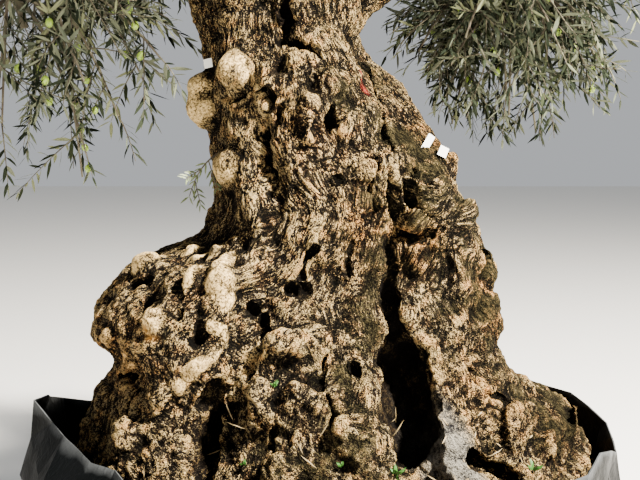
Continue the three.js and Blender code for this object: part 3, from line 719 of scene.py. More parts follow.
def balls(rows):
    """Egg-shaped balls as one mesh, each given by its centre, its turn about the vertical and its sizes."""
    bm = bmesh.new()
    bmesh.ops.create_icosphere(bm, subdivisions=3, radius=1)
    corners = points_of_bmesh(bm)
    faces = np.array([[vertex.index for vertex in face.verts] for face in bm.faces])
    bm.free()
    rows = np.array([np.hstack(row) for row in rows])
    cosine, sine = np.cos(rows[:, 3:4]), np.sin(rows[:, 3:4])
    across, out, up = np.moveaxis(corners[None] * rows[:, None, 4:], 2, 0)
    points = np.stack((across * cosine - out * sine, across * sine + out * cosine, up), -1)
    points += rows[:, None, :3]
    faces = faces + (np.arange(len(rows)) * len(corners))[:, None, None]
    return mesh_of("balls", points.reshape(-1, 3), [faces.reshape(-1, 3)])


def bough_points(name, steps):
    """Points, headings and radii along a bough."""
    path, radii = BOUGHS[name]
    share = np.linspace(0, 1, steps)
    return to_metres(bezier(path, share)), bezier_heading(path, share), between(radii, share) * MM


def bough_side(points):
    """A level direction square to a bough's line."""
    return unit(np.cross(points[-1] - points[0], UP))


def tube_place(points, headings, radii, side):
    """The place function of a round tube along a row of points."""
    def place(u, v):
        at = v * (len(points) - 1)
        row = np.round(at).astype(int)
        across = squared(side, headings)
        other = np.cross(across, headings)
        turn = (u * 2 * np.pi)[:, None]
        return points[row] + radii[row][:, None] * (np.cos(turn) * across[row] + np.sin(turn) * other[row])
    return place


def along_bark(route, wide):
    """Angles and heights close together along a route, each with an ease that fades at both ends."""
    route = np.array([(math.radians(angle), height) for angle, height in route])
    route[:, 0] = np.unwrap(route[:, 0])
    spots = on_bark(route[:, 0], route[:, 1]) / MM
    reach = np.concatenate(([0], np.cumsum(np.linalg.norm(np.diff(spots, axis=0), axis=1))))
    steps = np.arange(0, reach[-1] + 1, wide * 0.45)
    ease = np.sqrt(np.clip(np.minimum(steps, reach[-1] - steps) / (2.2 * wide), 0.08, 1))
    return zip(np.interp(steps, reach, route[:, 0]), np.interp(steps, reach, route[:, 1]), ease)


def wood_shell():
    """The closed forms of the trunk and boughs, one through another."""
    whole = trunk_core()
    rng = np.random.default_rng(11)
    rows = []
    for angle, height, wide, tall, proud in BURLS + KNOTS:
        turn = math.radians(angle)
        sizes = np.array((wide, proud, tall)) * MM * rng.uniform(0.92, 1.08, 3)
        rows.append((on_bark(turn, height), turn, sizes))
    for wide, proud, route in ROPES + LONG_BURLS:
        for angle, height, ease in along_bark(route, wide):
            ease *= rng.uniform(0.8, 1.15)
            rows.append((on_bark(angle, height), angle, np.array((wide * ease, proud * ease, wide)) * MM))
    rings = 10
    for low, high, radii in LIMBS:
        ends = to_metres([low, high])
        for share in np.linspace(0, 1, rings - 1):
            rows.append((between(ends, share), 0, (between(radii, share) * MM,) * 3))
        place = tube_place(between(ends, np.linspace(0, 1, rings)[:, None]),
                           np.tile(unit(ends[1] - ends[0]), (rings, 1)),
                           np.linspace(*radii, rings) * MM, np.array((1.0, 0, 0)))
        take(whole, sheet(28, rings - 1, place))
    rings = 41
    for name in BOUGHS:
        points, headings, radii = bough_points(name, rings)
        take(whole, sheet(24, rings - 1, tube_place(points, headings, radii, bough_side(points))))
    whole.from_mesh(balls(rows))
    return mesh_from(whole, "wood shell")


def rot_shell():
    """Irregular bodies of all that rot has hollowed out."""
    rows = []
    ball_gap = 9
    for depth, chain in HOLLOWS:
        chain = np.array(chain, float)
        for low, high in zip(chain, chain[1:]):
            count = max(2, int(np.linalg.norm(high[:3] - low[:3]) / ball_gap))
            for share in np.linspace(0, 1, count, endpoint=False):
                *spot, radius = between((low, high), share)
                rows.append((to_metres(spot), 0, np.array((radius, radius * depth, radius)) * MM))
    for angle, height, wide, depth in PITS:
        turn = math.radians(angle)
        rows.append((on_bark(turn, height), turn, np.array((wide, depth, wide * 1.25)) * MM))
    for wide, depth, route in GROOVES:
        for angle, height, ease in along_bark(route, wide):
            rows.append((on_bark(angle, height), angle,
                         np.array((wide * (0.45 + 0.55 * ease), depth * ease, wide)) * MM))
    mesh = finished(balls(rows), "rot", ("REMESH", dict(mode="VOXEL", voxel_size=ROT_VOXEL)))
    points = points_of(mesh)
    set_points(mesh, points + 0.010 * swirl(points, 0.05, 21) + 0.005 * swirl(points, 0.018, 24))
    return mesh


def trunk_place(points):
    """Angle in degrees round the trunk and height in millimetres above the soil."""
    height = (points[:, 2] - WOOD_FOOT) / MM
    cx, cy, rx, ry = section_at(height)
    angle = np.degrees(np.arctan2((points[:, 0] / MM - cx) / rx, -(points[:, 1] / MM - cy) / ry))
    return angle, height


def grain_place(points, angle, height):
    """Where a point lies in the bark's own grain: strands wind up the trunk and part round burls."""
    u = angle.copy()
    u += 10 * np.sin(height / 240 + 0.6) + 0.008 * height
    for middle, level, slant in GRAIN_SLANTS:
        near = spread(wrap_degrees(angle - middle), 26) * spread(height - level, 150)
        u += slant * (height - level) * near
    for middle, level, wide, tall, _ in BURLS + KNOTS:
        reach_u, reach_v = 1.7 * wide / MM_PER_DEGREE, 1.7 * tall
        near = spread(wrap_degrees(angle - middle), reach_u) * spread(height - level, reach_v)
        u -= 0.45 * wrap_degrees(angle - middle) * near
    turn = np.radians(u)
    drift = 0.018 * swirl(points, 0.075, 31)
    return np.column_stack((GRAIN_RADIUS * np.sin(turn), GRAIN_RADIUS * np.cos(turn),
                            points[:, 2] / GRAIN_STRETCH)) + drift


def bough_grain(points):
    """Grain along the nearest bough, and the distance from its middle line in radii."""
    apart = 3.1
    best = np.full(len(points), 1e9)
    grain = np.zeros((len(points), 3))
    for index, name in enumerate(BOUGHS):
        spots, headings, radii = bough_points(name, 25)
        side = bough_side(spots)
        lengths = np.concatenate(([0], np.cumsum(np.linalg.norm(np.diff(spots, axis=0), axis=1))))
        gap = np.linalg.norm(points[:, None] - spots[None], axis=2)
        near = gap.argmin(1)
        ratio = gap[np.arange(len(points)), near] / radii[near]
        offset = points - spots[near]
        along = (offset * headings[near]).sum(1)
        other = np.cross(side, headings[near])
        mine = np.column_stack(((offset * side).sum(1), (offset * other).sum(1),
                                (lengths[near] + along) / GRAIN_STRETCH + apart * index))
        closer = ratio < best
        best = np.where(closer, ratio, best)
        grain[closer] = mine[closer]
    return grain, best


def strands(grain, points, loose, settings):
    """Height of the bark above its smooth form, in metres, and how pale it is from wear, with painted shade
    in its cracks.

    Firm bark is fibrous, with cracks a strand apart. Loose bark has knobs of 36 mm and crumbs of 17 mm. Both
    carry specks of about 10 mm.
    """
    width = settings.strand
    long_crack = spread(np.abs(noise(grain, width, 1)), 0.12)
    short_crack = spread(np.abs(noise(grain, width * 0.55, 2)), 0.16)
    flake = noise(grain * (1, 1, 2.2), width * 0.6, 3)
    knob = np.minimum(np.abs(noise(points, 0.036, 4)) * 1.7, 1)
    crumb = np.minimum(np.abs(noise(points, 0.017, 5)) * 1.7, 1)
    speck = noise(points, 0.0095, 6)
    fibrous = -0.75 * long_crack - 0.40 * short_crack + 0.40 * flake + 0.38 * speck
    lumpy = 1.1 * (knob - 0.6) + 0.8 * (crumb - 0.5) - 0.25 * short_crack + 0.55 * speck
    rise = settings.depth * (fibrous * (1 - loose) + lumpy * loose)
    # The cracks are darkened as painted shade.
    pale_fibrous = 0.61 - 0.22 * long_crack - 0.16 * short_crack + 0.08 * flake
    pale_lumpy = 0.47 + 0.18 * knob + 0.20 * crumb - 0.08 * short_crack
    return rise, pale_fibrous * (1 - loose) + pale_lumpy * loose


def burl_share(points):
    """How far each point belongs to a smooth burl, from 0 to 1."""
    burl = np.zeros(len(points))
    for middle, level, wide, tall, proud in BURLS:
        turn = math.radians(middle)
        offset = points - on_bark(turn, level)
        aside = offset[:, 0] * math.cos(turn) + offset[:, 1] * math.sin(turn)
        out = offset[:, 0] * math.sin(turn) - offset[:, 1] * math.cos(turn)
        reach = np.sqrt((aside / wide) ** 2 + (out / max(1.3 * proud, 39)) ** 2
                        + (offset[:, 2] / tall) ** 2) / MM
        burl = np.maximum(burl, np.clip((1.34 - reach) / 0.50, 0, 1))
    for wide, _, route in LONG_BURLS:
        for turn, level, _ in along_bark(route, wide):
            reach = np.linalg.norm(points - on_bark(turn, level), axis=1) / (wide * MM)
            burl = np.maximum(burl, 0.95 * np.clip((1.5 - reach) / 0.60, 0, 1))
    ragged = noise(points, 0.03, 41)
    return burl * np.clip(1.0 + 0.7 * ragged, 0, 1)


def hollow_share(points, angle, height):
    """How deep each point lies under the trunk's core, from 0 to 1."""
    core = on_bark(np.radians(angle), height)
    axis = np.stack(section_at(height)[:2], 1) * MM
    under = np.linalg.norm(core[:, :2] - axis, axis=1) - np.linalg.norm(points[:, :2] - axis, axis=1)
    return np.clip((under - 0.022) / 0.035, 0, 1) * (height < 1060)


def dress_bark(mesh, settings):
    """Carves the bark's relief, and gives the masks and the grain that its material reads."""
    edges = edges_of(mesh)
    points = points_of(mesh)
    normals = normals_of(mesh)
    angle, height = trunk_place(points)
    # The trunk's bark gives way to the boughs' between 1040 and 1180 mm, and near a bough's middle line.
    grain_b, ratio = bough_grain(points)
    on_trunk = np.clip((1180 - height) / 120, 0, 1)
    on_bough = np.clip((1.35 - ratio) / 0.25, 0, 1) * np.clip((height - 1040) / 90, 0, 1)
    on_bough = np.maximum(on_bough, 1 - on_trunk)
    burl = burl_share(points)

    # The bark is firm above 560 mm, and looser and looser down to the foot.
    loose = np.clip((560 - height) / 240, 0.12, 1) * np.clip(0.8 + 0.6 * noise(points, 0.12, 42), 0, 1)
    grain_t = grain_place(points, angle, height)
    rise_t, pale_t = strands(grain_t, points, loose, settings)
    rise_b, pale_b = strands(grain_b, points, 0 * loose, settings)
    grain = np.where((on_bough < 0.5)[:, None], grain_t, grain_b)
    rise = rise_t * (1 - on_bough) + 0.8 * rise_b * on_bough
    pale = pale_t * (1 - on_bough) + pale_b * on_bough

    # Lumps of 120, 55 and 28 mm, flatter on boughs and burls, and on burls fine waves instead of strands.
    lumps = 0.010 * noise(points, 0.12, 51) + 0.011 * noise(points, 0.055, 52)
    lumps += 0.004 * noise(points, 0.028, 58)
    lumps *= 1 - 0.5 * on_bough
    fine_burl = 0.0026 * noise(points, 0.026, 53) + 0.0010 * noise(points, 0.011, 54)
    rise = rise * (1 - 0.88 * burl) + fine_burl * burl
    moved = points + normals * (rise + lumps * (1 - 0.5 * burl))[:, None]
    moved[:, 2] = np.maximum(moved[:, 2], SOIL_LEVEL - 0.012)
    set_points(mesh, moved)

    # Wear bleaches what stands proud, both narrow and broad, and what lies deep is darkened as painted
    # shade.
    smooth = smoothed(moved, edges, 6)
    bulge = ((moved - smooth) * normals).sum(1)
    swell = ((smooth - smoothed(smooth, edges, 14)) * normals).sum(1)
    pale += np.clip(bulge / 0.009, -0.32, 0.16) + np.clip(swell / 0.011, -0.42, 0.16)
    pale += 0.10 * noise(points, 0.11, 55) + 0.08 * noise(points, 0.04, 57)

    # Moss grows in patches and on what faces up, but not on burls, and shades the bark beside it.
    angle, height = trunk_place(moved)
    patchy = np.clip(0.55 + 0.9 * noise(points, 0.045, 56), 0, 1)
    upward = np.clip(0.5 + 0.8 * normals[:, 2], 0, 1)
    moss = bump_field(MOSS, angle, height) * patchy * (0.55 + 0.45 * upward) * (1 - burl)
    # The pale mask carries painted shade from the cracks and dips, besides wear, tone and moss.
    masks = {
        "pale": pale - 0.24 * np.clip(moss, 0, 1),
        "burl": burl,
        "moss": moss,
        "dead": bump_field(DEAD_WOOD, angle, height) * 1.6 - 0.3,
        "rust": bump_field(RUST_SCAR, angle, height),
        "warm": bump_field(WARM, angle, height),
        "paint": bump_field(PAINT, angle, height) * 1.8,
        # The hollow mask says where painted shade fills the hollows.
        "hollow": neighbours_mean(hollow_share(moved, angle, height) * (1 - on_bough), edges),
        "loose": loose * (1 - on_bough),
    }
    return masks, grain


# How masks and patterns add up to the bark's shade, the share of each finish and the relief: each step's
# name, sum and terms, which are earlier steps or numbers. A step named a share is kept from 0 to 1.
BARK_STEPS = (
    ("streaky", "MULTIPLY_ADD", "loose", -1.4, 3.0),
    ("fibrous", "SUBTRACT", "fibres", 0.5),
    ("streaks", "MULTIPLY", "fibrous", "streaky"),
    ("crumbly", "MULTIPLY_ADD", "loose", 1.8, 1.0),
    ("flaky", "SUBTRACT", "flakes", 0.5),
    ("crumbs", "MULTIPLY", "flaky", "crumbly"),
    ("crumbs", "ADD", "crumbs", -0.90),
    ("crumbs", "MULTIPLY_ADD", "specks", 1.8, "crumbs"),
    ("grit", "ADD", "streaks", "crumbs"),
    ("shade", "ADD", "pale", "grit"),
    ("shade", "ADD", "shade", -0.24),
    ("shade", "MULTIPLY_ADD", "patches", 0.40, "shade"),
    ("skin", "ADD", "burl", -2.02),
    ("skin", "MULTIPLY_ADD", "patches", 1.2, "skin"),
    ("skin", "MULTIPLY_ADD", "flakes", 1.6, "skin"),
    ("skin share", "MULTIPLY", "skin", 4.0),
    ("gold", "MULTIPLY_ADD", "patches", 2.0, -0.3),
    ("gold share", "MULTIPLY", "warm", "gold"),
    ("growth", "ADD", "moss", -2.33),
    ("growth", "ADD", "patches", "growth"),
    ("growth", "MULTIPLY_ADD", "flakes", 3.2, "growth"),
    ("growth", "MULTIPLY", "growth", 2.6),
    ("moss share", "MINIMUM", "growth", 0.9),
    ("scar share", "MULTIPLY", "rust", 0.8),
    ("daub", "MULTIPLY_ADD", "flakes", 3.0, -0.9),
    ("daub", "MULTIPLY", "paint", "daub"),
    ("daub share", "MINIMUM", "daub", 0.85),
    # Painted shade that fills the hollows.
    ("dark share", "MULTIPLY", "hollow", 0.92),
    ("rough", "MULTIPLY_ADD", "skin share", -0.85, 1.0),
    ("relief", "MULTIPLY_ADD", "grit", 0.35, 0.5),
    ("relief", "MULTIPLY", "rough", "relief"),
)


def bark_material(settings):
    """Old olive bark: split by growth into strands, worn pale on the ridges, deep in the cracks, with
    painted shade there and in the hollows.
    """
    made, tree, shader = material("weathered olive bark")
    place = add(tree, COORDINATES, {}, "Object")
    grain = add(tree, ATTRIBUTE, {}, "Vector", attribute_name="grain")
    found = {mask: add(tree, ATTRIBUTE, {}, "Fac", attribute_name=mask) for mask in BARK_MASKS}
    # Fibres about 3 mm across and 12 mm long, flakes of 4 mm, specks of 2 mm, wear in patches of 80 mm,
    # hues that change over 25 mm, and dots of 2 to 3 mm on the burls, 6 mm apart.
    for name, vector, size, detail in (
            ("fibres", grain, 0.0034, 3.0), ("flakes", place, 0.0040, 3.0), ("specks", place, 0.0023, 1.0),
            ("patches", place, 0.08, 3.0), ("hues", place, 0.025, 2.0), ("dots", place, 0.0058, 2.0)):
        found[name] = add(tree, NOISE, {"Vector": vector, "Scale": 1 / size, "Detail": detail,
                                        "Roughness": 0.6})
    for name, operation, *terms in BARK_STEPS:
        found[name] = add(tree, MATH, {i: found.get(term, term) for i, term in enumerate(terms)},
                          operation=operation, use_clamp=name.endswith("share"))
    # The ramp's near-black low end is painted shade for the cracks and dips.
    tint = add(tree, RAMP, {"Fac": found["shade"]}, stops=(
        (0.14, settings.crack_shade), (0.46, settings.weathered), (0.68, settings.ridge),
        (0.81, linear("#52463a")), (0.98, settings.crest)))
    # From grey to rusty.
    hues = add(tree, RAMP, {"Fac": found["hues"]}, stops=(
        (0.36, (0.90, 0.96, 1.0)), (0.50, (0.97, 1.0, 0.92)), (0.66, (1.10, 0.93, 0.76))))
    dots = add(tree, RAMP, {"Fac": found["dots"]}, stops=(
        (0.33, solid(settings.burl, 0.12)), (0.46, solid(settings.burl, 0.66)), (0.60, settings.burl)))
    moss, grey = (
        add(tree, MIX, {0: found["shade"], 6: dark, 7: light}, 2, data_type="RGBA") for dark, light in (
            (solid(settings.moss, 0.08), solid(settings.moss, 0.80)),
            ((0.012, 0.012, 0.013, 1), solid(settings.dead))))
    # The finishes, each over the last: burl skin, gold from the wood's tannin, moss, bare grey wood, a
    # rusty scar, daubs of red paint, and painted shade deep in the hollows.
    for share, colour, blend in (
            (1.0, hues, "MULTIPLY"), (found["skin share"], dots, "MIX"),
            (found["gold share"], (1.18, 0.72, 0.36, 1), "MULTIPLY"), (found["moss share"], moss, "MIX"),
            (found["dead"], grey, "MIX"), (found["scar share"], solid(linear("#5f3d10")), "MIX"),
            (found["daub share"], solid(linear("#8e2f28")), "MIX"),
            (found["dark share"], solid(linear("#0b0806")), "MIX")):
        tint = add(tree, MIX, {0: share, 6: tint, 7: colour}, 2, data_type="RGBA", blend_type=blend)
    bump = add(tree, BUMP, {"Height": found["relief"], "Strength": 1.0, "Distance": 0.010})
    feed(tree, shader, {"Base Color": tint, "Roughness": 0.95, "Specular IOR Level": 0.03, "Normal": bump})
    return made


def split_bark(mesh, groups, masks, grain, skin, nodes):
    """Splits the bark by a group number for each face, keeping the whole's shading and no loose crumbs."""
    points = points_of(mesh)
    normals = normals_of(mesh)
    corners = np.empty(len(mesh.loops), np.int32)
    mesh.loops.foreach_get("vertex_index", corners)
    sides = np.empty(len(mesh.polygons), np.int32)
    mesh.polygons.foreach_get("loop_total", sides)
    starts = np.cumsum(sides) - sides
    firm = in_main_part(mesh)[corners[starts]]
    for group, label in enumerate(nodes):
        chosen = (groups == group) & firm
        faces = []
        for count in np.unique(sides[chosen]):
            rows = starts[chosen & (sides == count)]
            faces.append(corners[rows[:, None] + np.arange(count)])
        used = np.unique(np.concatenate([part.ravel() for part in faces]))
        lookup = np.zeros(len(points), np.int32)
        lookup[used] = np.arange(len(used))
        part = mesh_of(f"bark_{label}", points[used], [lookup[face] for face in faces])
        for mask in BARK_MASKS:
            store(part, mask, np.clip(masks[mask][used], 0, 1))
        store_vectors(part, "grain", grain[used])
        part.normals_split_custom_set_from_vertices(normals[used])
        add_object(f"bark_{label}", part, [skin], "bark", *nodes[label])


class OLIVE_OT_wood(bpy.types.Operator):
    """Trunk and boughs, joined in one skin of bark"""

    bl_idname = "olive.wood"
    bl_label = "Trunk and boughs"

    def execute(self, context):
        settings = context.scene.olive_bark
        shell = finished(wood_shell(), "shell", ("REMESH", dict(mode="VOXEL", voxel_size=WOOD_VOXEL)),
                         ("SMOOTH", dict(factor=0.5, iterations=9)))
        rot = bpy.data.objects.new("rot", rot_shell())
        context.scene.collection.objects.link(rot)
        bark = finished(
            shell, "skin", ("BOOLEAN", dict(operation="DIFFERENCE", solver="MANIFOLD", object=rot)),
            ("REMESH", dict(mode="VOXEL", voxel_size=settings.grain)),
            ("SMOOTH", dict(factor=0.5, iterations=2)))
        bpy.data.objects.remove(rot)
        masks, grain = dress_bark(bark, settings)
        centres = np.empty(len(bark.polygons) * 3, np.float32)
        bark.polygons.foreach_get("center", centres)
        across, depth, height = centres.reshape(-1, 3).T
        foot = height < FOOT_TOP
        low = height < WAIST_TOP
        upper = height > BOUGHS_FROM
        back = depth > MIDDLE_DEPTH
        right = across > MIDDLE_ACROSS
        groups = np.select([foot & ~back, foot, low & ~back, low, upper & ~right, upper, ~back],
                           [0, 1, 2, 3, 4, 5, 6], 7)
        boughs = [f"bough_{name}" for name in BOUGHS]
        split_bark(bark, groups, masks, grain, bark_material(settings), {
            "foot_front": ["trunk"], "foot_back": ["trunk"], "waist_front": ["trunk"],
            "waist_back": ["trunk"], "boughs_left": [name for name in boughs if "right" not in name],
            "boughs_right": [name for name in boughs if "left" not in name],
            "neck_front": ["trunk"], "neck_back": ["trunk"],
        })
        return {"FINISHED"}


def seeded(seed):
    """The source's repeatable stream of numbers from 0 to 1."""
    state = seed
    while True:
        state = (state * 1664525 + 1013904223) & 0xFFFFFFFF
        yield state / 2 ** 32


def wood_balls(name):
    """Balls that fill the wood, and the room that foliage of a mass leaves round each."""
    rows = []
    for bough, (path, radii) in BOUGHS.items():
        room = LIMB_CLEARANCE / 2 if bough == name else LIMB_CLEARANCE * 2
        share = np.linspace(0, 1, CURVE_STEPS + 1)
        for spot, radius in zip(bezier(path, share), between(radii, share)):
            rows.append((*spot, radius + room))
    for low, high, radii in LIMBS:
        for share in (0, 0.5, 1):
            spot = between(np.array((low, high)), share)
            rows.append((*spot, between(radii, share) + LIMB_CLEARANCE * 2))
    for height, cx, cy, rx, ry in TRUNK_SECTIONS:
        rows.append((cx, cy, height, max(rx, ry) + LIMB_CLEARANCE * 2))
    rows = np.array(rows)
    return to_metres(rows[:, :3]), rows[:, 3] * MM


def depth_in(name, points):
    centre, radii = MASSES[name][:2]
    return np.linalg.norm((points - to_metres(centre)) / (np.array(radii) * MM), axis=-1)


def keeps(name, points, reach=LEAF_REACH):
    """Whether points lie in their own mass's space, clear of the other masses and of the wood."""
    depth = depth_in(name, points)
    kept = depth <= reach
    for other in MASSES:
        if other != name:
            kept &= depth_in(other, points) >= depth + NEIGHBOUR_MARGIN
    centres, radii = wood_balls(name)
    for centre, radius in zip(centres, radii):
        kept &= np.linalg.norm(points - centre, axis=-1) > radius
    low, high = np.array(CAD_BOX)
    return kept & (points > low - BOX_MARGIN).all(-1) & (points < high + BOX_MARGIN).all(-1)


def stem_of(name):
    """A mass's stem: it goes on from its bough's tip to the middle of the mass."""
    path, _ = BOUGHS[name]
    heading = bezier_heading(path, 1.0)
    start = to_metres(path[2]) - STEM_OVERLAP * heading
    heart = to_metres(MASSES[name][0])
    return np.array((start, start + heading * np.linalg.norm(heart - start) / 2, heart))


def arch(name, start, direction, reach):
    """A branch that rises a little from the stem and arches over to its tip."""
    centre, radii, _, droop, _ = MASSES[name]
    tip = to_metres(centre) + np.array(radii) * MM * direction * reach
    bend = (start + tip) / 2
    bend[2] += np.linalg.norm(tip - start) * (0.12 + droop / 2)
    return np.array((start, bend, tip))


def branches_of(name, seed, fine):
    """The branches of the plain solid, then finer ones between them."""
    _, _, plain, _, fullness = MASSES[name]
    stem = stem_of(name)
    random = seeded(seed)
    outer = [0.5, 0.75, 1]
    found = []
    for i in range(plain):
        rise = 1 - 2 * (i + 0.5) / plain
        level = math.sqrt(1 - rise * rise)
        turn = i * GOLDEN_ANGLE + 0.5 * next(random)
        direction = np.array((level * math.cos(turn), level * math.sin(turn), rise))
        branch = arch(name, bezier(stem, 0.2 + 0.75 * next(random)), direction, BRANCH_REACH)
        if keeps(name, bezier(branch, outer)).all():
            found.append(branch)
            for _ in range(SOURCE_LEAF_DRAWS):
                next(random)
    rng = np.random.default_rng(seed)
    directions = even_directions(round(fine * fullness))
    for direction in np.concatenate((directions, MORE_BRANCHES.get(name, np.empty((0, 3))))):
        direction = unit(direction + rng.normal(0, 0.22, 3))
        branch = arch(name, bezier(stem, rng.uniform(0.1, 0.98)), direction, rng.uniform(0.48, 0.90))
        if keeps(name, bezier(branch, outer)).all():
            found.append(branch)
    return stem, np.array(found)


def shoots_of(name, branches, per_branch, seed):
    """Leafy shoots that leave the outer part of each branch, and go on from its tip."""
    rng = np.random.default_rng(seed + 1)
    droop = MASSES[name][3]
    share = np.linspace(0.30, 1.0, per_branch) + rng.uniform(-0.05, 0.05, (len(branches), per_branch))
    share = np.clip(share, 0, 1)
    share[:, -1] = 1
    ends = np.repeat(branches, per_branch, axis=0)
    share = share.ravel()
    root = bezier(ends, share)
    heading = bezier_heading(ends, share)
    side, other = square_pair(heading, UP)
    turn = rng.uniform(0, 2 * np.pi, len(root))[:, None]
    lean = np.where(share == 1, 0.2, rng.uniform(0.7, 1.8, len(root)))[:, None]
    direction = unit(heading + lean * (np.cos(turn) * side + np.sin(turn) * other)
                     + UP * (0.20 - 0.4 * droop))
    length = rng.uniform(0.10, 0.24, len(root))[:, None]
    bend = root + direction * length * 0.55
    tip = root + direction * length - UP * length * rng.uniform(-0.15, 0.25 + 0.9 * droop, (len(root), 1))
    curves = np.stack((root, bend, tip), 1)
    kept = keeps(name, tip) & keeps(name, bend)
    shorter = np.stack((root, root + (bend - root) * 0.5, root + (tip - root) * 0.5), 1)
    saved = ~kept & keeps(name, shorter[:, 2])
    return np.concatenate((curves[kept], shorter[saved]))


def leaves_along(name, curves, settings, seed):
    """Pairs of leaves on both sides of each shoot: root, direction, upward side, size and spray."""
    rng = np.random.default_rng(seed + 2)
    length = np.linalg.norm(curves[:, 2] - curves[:, 0], axis=1)
    pairs = np.maximum(3, (length / settings.pair_gap).astype(int))
    spray = np.repeat(np.arange(len(curves)), pairs)
    order = np.concatenate([np.arange(count) for count in pairs])
    share = (order + 1) / pairs[spray]
    ends = curves[spray]
    root = bezier(ends, share)
    heading = bezier_heading(ends, share)
    side, other = square_pair(heading, UP)
    spin = rng.uniform(0, 2 * np.pi, len(curves))[spray] + order * (np.pi / 2) \
        + rng.normal(0, 0.25, len(spray))
    rows = []
    for sign in (1, -1):
        out = sign * (np.cos(spin)[:, None] * side + np.sin(spin)[:, None] * other)
        lean = rng.uniform(0.7, 1.9, (len(spray), 1)) * (1.15 - 0.7 * share[:, None])
        direction = unit(heading + lean * out + rng.normal(0, 0.12, (len(spray), 3)))
        normal = UP + rng.normal(0, 0.55, (len(spray), 3)) + 0.30 * out
        size = rng.uniform(0.72, 1.12, len(spray)) * (1.06 - 0.30 * share)
        rows.append((root, direction, normal, size, spray))
    root, direction, normal, size, spray = (np.concatenate(column) for column in zip(*rows))
    tip = root + direction * (size * settings.leaf_length)[:, None]
    kept = keeps(name, tip, LEAF_REACH + 0.02)
    return root[kept], direction[kept], squared(normal, direction)[kept], size[kept], spray[kept]


# A leaf: eight corners as shares of its length, width and thickness, its faces, and its thickness in metres.
LEAF_CORNERS = np.array([
    (0, 0, 0), (0.30, 0.5, 0), (0.66, 0.42, 0), (1, 0, 0), (0.66, -0.42, 0), (0.30, -0.5, 0),
    (0.48, 0, 0.5), (0.48, 0, -0.5),
])
LEAF_UPPER = np.array([(6, 0, 5), (6, 5, 4), (6, 4, 3), (6, 3, 2), (6, 2, 1), (6, 1, 0)])
LEAF_UNDER = np.array([(7, 5, 0), (7, 4, 5), (7, 3, 4), (7, 2, 3), (7, 1, 2), (7, 0, 1)])
LEAF_THICKNESS = 0.0009


def blades(root, direction, normal, length, width, bow, shade, shades):
    """Points, faces and material numbers of leaves: the upper shades come first, then the under ones."""
    across = np.cross(normal, direction)
    along, aside, lift = LEAF_CORNERS.T
    curve = 4 * along * (1 - along)
    points = (root[:, None] + (length[:, None] * along)[..., None] * direction[:, None]
              + (width[:, None] * aside)[..., None] * across[:, None]
              + (LEAF_THICKNESS * lift + bow[:, None] * curve)[..., None] * normal[:, None])
    first = (np.arange(len(root)) * len(LEAF_CORNERS))[:, None, None]
    faces = np.concatenate((LEAF_UPPER + first, LEAF_UNDER + first), 1).reshape(-1, 3)
    upper = np.repeat(shade[:, None], len(LEAF_UPPER), 1)
    under = np.repeat(shade[:, None] + shades, len(LEAF_UNDER), 1)
    return points.reshape(-1, 3), faces, np.concatenate((upper, under), 1).ravel()


def twig_tubes(curves, root_radius, tip_radius, sides, steps):
    """Thin closed tubes along curves, as points and arrays of faces."""
    share = np.linspace(0, 1, steps + 1)
    ends = np.repeat(curves[:, None], steps + 1, axis=1)
    spots = bezier(ends, share[None])
    headings = bezier_heading(ends, share[None])
    side, other = square_pair(headings, (0.13, 0.07, 1.0))
    turn = np.arange(sides) * 2 * np.pi / sides
    root_radius = np.broadcast_to(root_radius, len(curves))[:, None]
    radius = between((root_radius, tip_radius), share)[..., None, None]
    points = spots[:, :, None] + radius * (np.cos(turn)[:, None] * side[:, :, None]
                                           + np.sin(turn)[:, None] * other[:, :, None])
    ring = np.arange(sides)
    row = (np.arange(steps) * sides)[:, None]
    quads = np.stack((row + ring, row + sides + ring, row + sides + (ring + 1) % sides,
                      row + (ring + 1) % sides), -1).reshape(-1, 4)
    first = np.arange(len(curves)) * (steps + 1) * sides
    quads = (quads + first[:, None, None]).reshape(-1, 4)
    start = first[:, None] + ring
    end = first[:, None] + steps * sides + ring[::-1]
    return points.reshape(-1, 3), [quads, np.concatenate((start, end))]


def joined(parts):
    """Joins (points, list of face arrays) into one set, the faces grouped by their number of sides."""
    offset, points, by_sides = 0, [], {}
    for spots, arrays in parts:
        for array in arrays:
            by_sides.setdefault(array.shape[1], []).append(array + offset)
        points.append(spots)
        offset += len(spots)
    return np.concatenate(points), [np.concatenate(rows) for rows in by_sides.values()]


def shade_of(colour, change):
    return tuple(min(1.0, c * f) for c, f in zip(colour, change))


# Sprays differ: some are older and darker, some younger and yellower. Shares of each kind of spray.
SPRAY_SHADES = ((1.0, 1.0, 1.0), (0.66, 0.70, 0.72), (1.35, 1.33, 1.08))
SPRAY_SHARES = (0.5, 0.3, 0.2)


def leaf_materials(settings):
    """Olive leaves: a waxy grey-green upper side, and an under side felted with silvery scales."""
    sides = (("upper", settings.upper, 0.75, 0.0), ("under", settings.under, 0.85, 0.03))
    return [
        plain_material(f"olive leaf {side} {number + 1}", shade_of(colour, change),
                       {"Roughness": rough, "Specular IOR Level": 0.03, "Sheen Weight": sheen})
        for side, colour, rough, sheen in sides for number, change in enumerate(SPRAY_SHADES)]


def twig_material(settings):
    """Young olive wood: smooth grey-green skin, browner where it is older."""
    made, tree, shader = material("olive twig skin")
    place = add(tree, COORDINATES, {}, "Object")
    # Mottled over 25 mm.
    mottle = add(tree, NOISE, {"Vector": place, "Scale": 40.0, "Detail": 3.0})
    tint = add(tree, RAMP, {"Fac": mottle}, stops=((0.35, linear("#3d3225")), (0.65, settings.twig)))
    feed(tree, shader, {"Base Color": tint, "Roughness": 0.8})
    return made


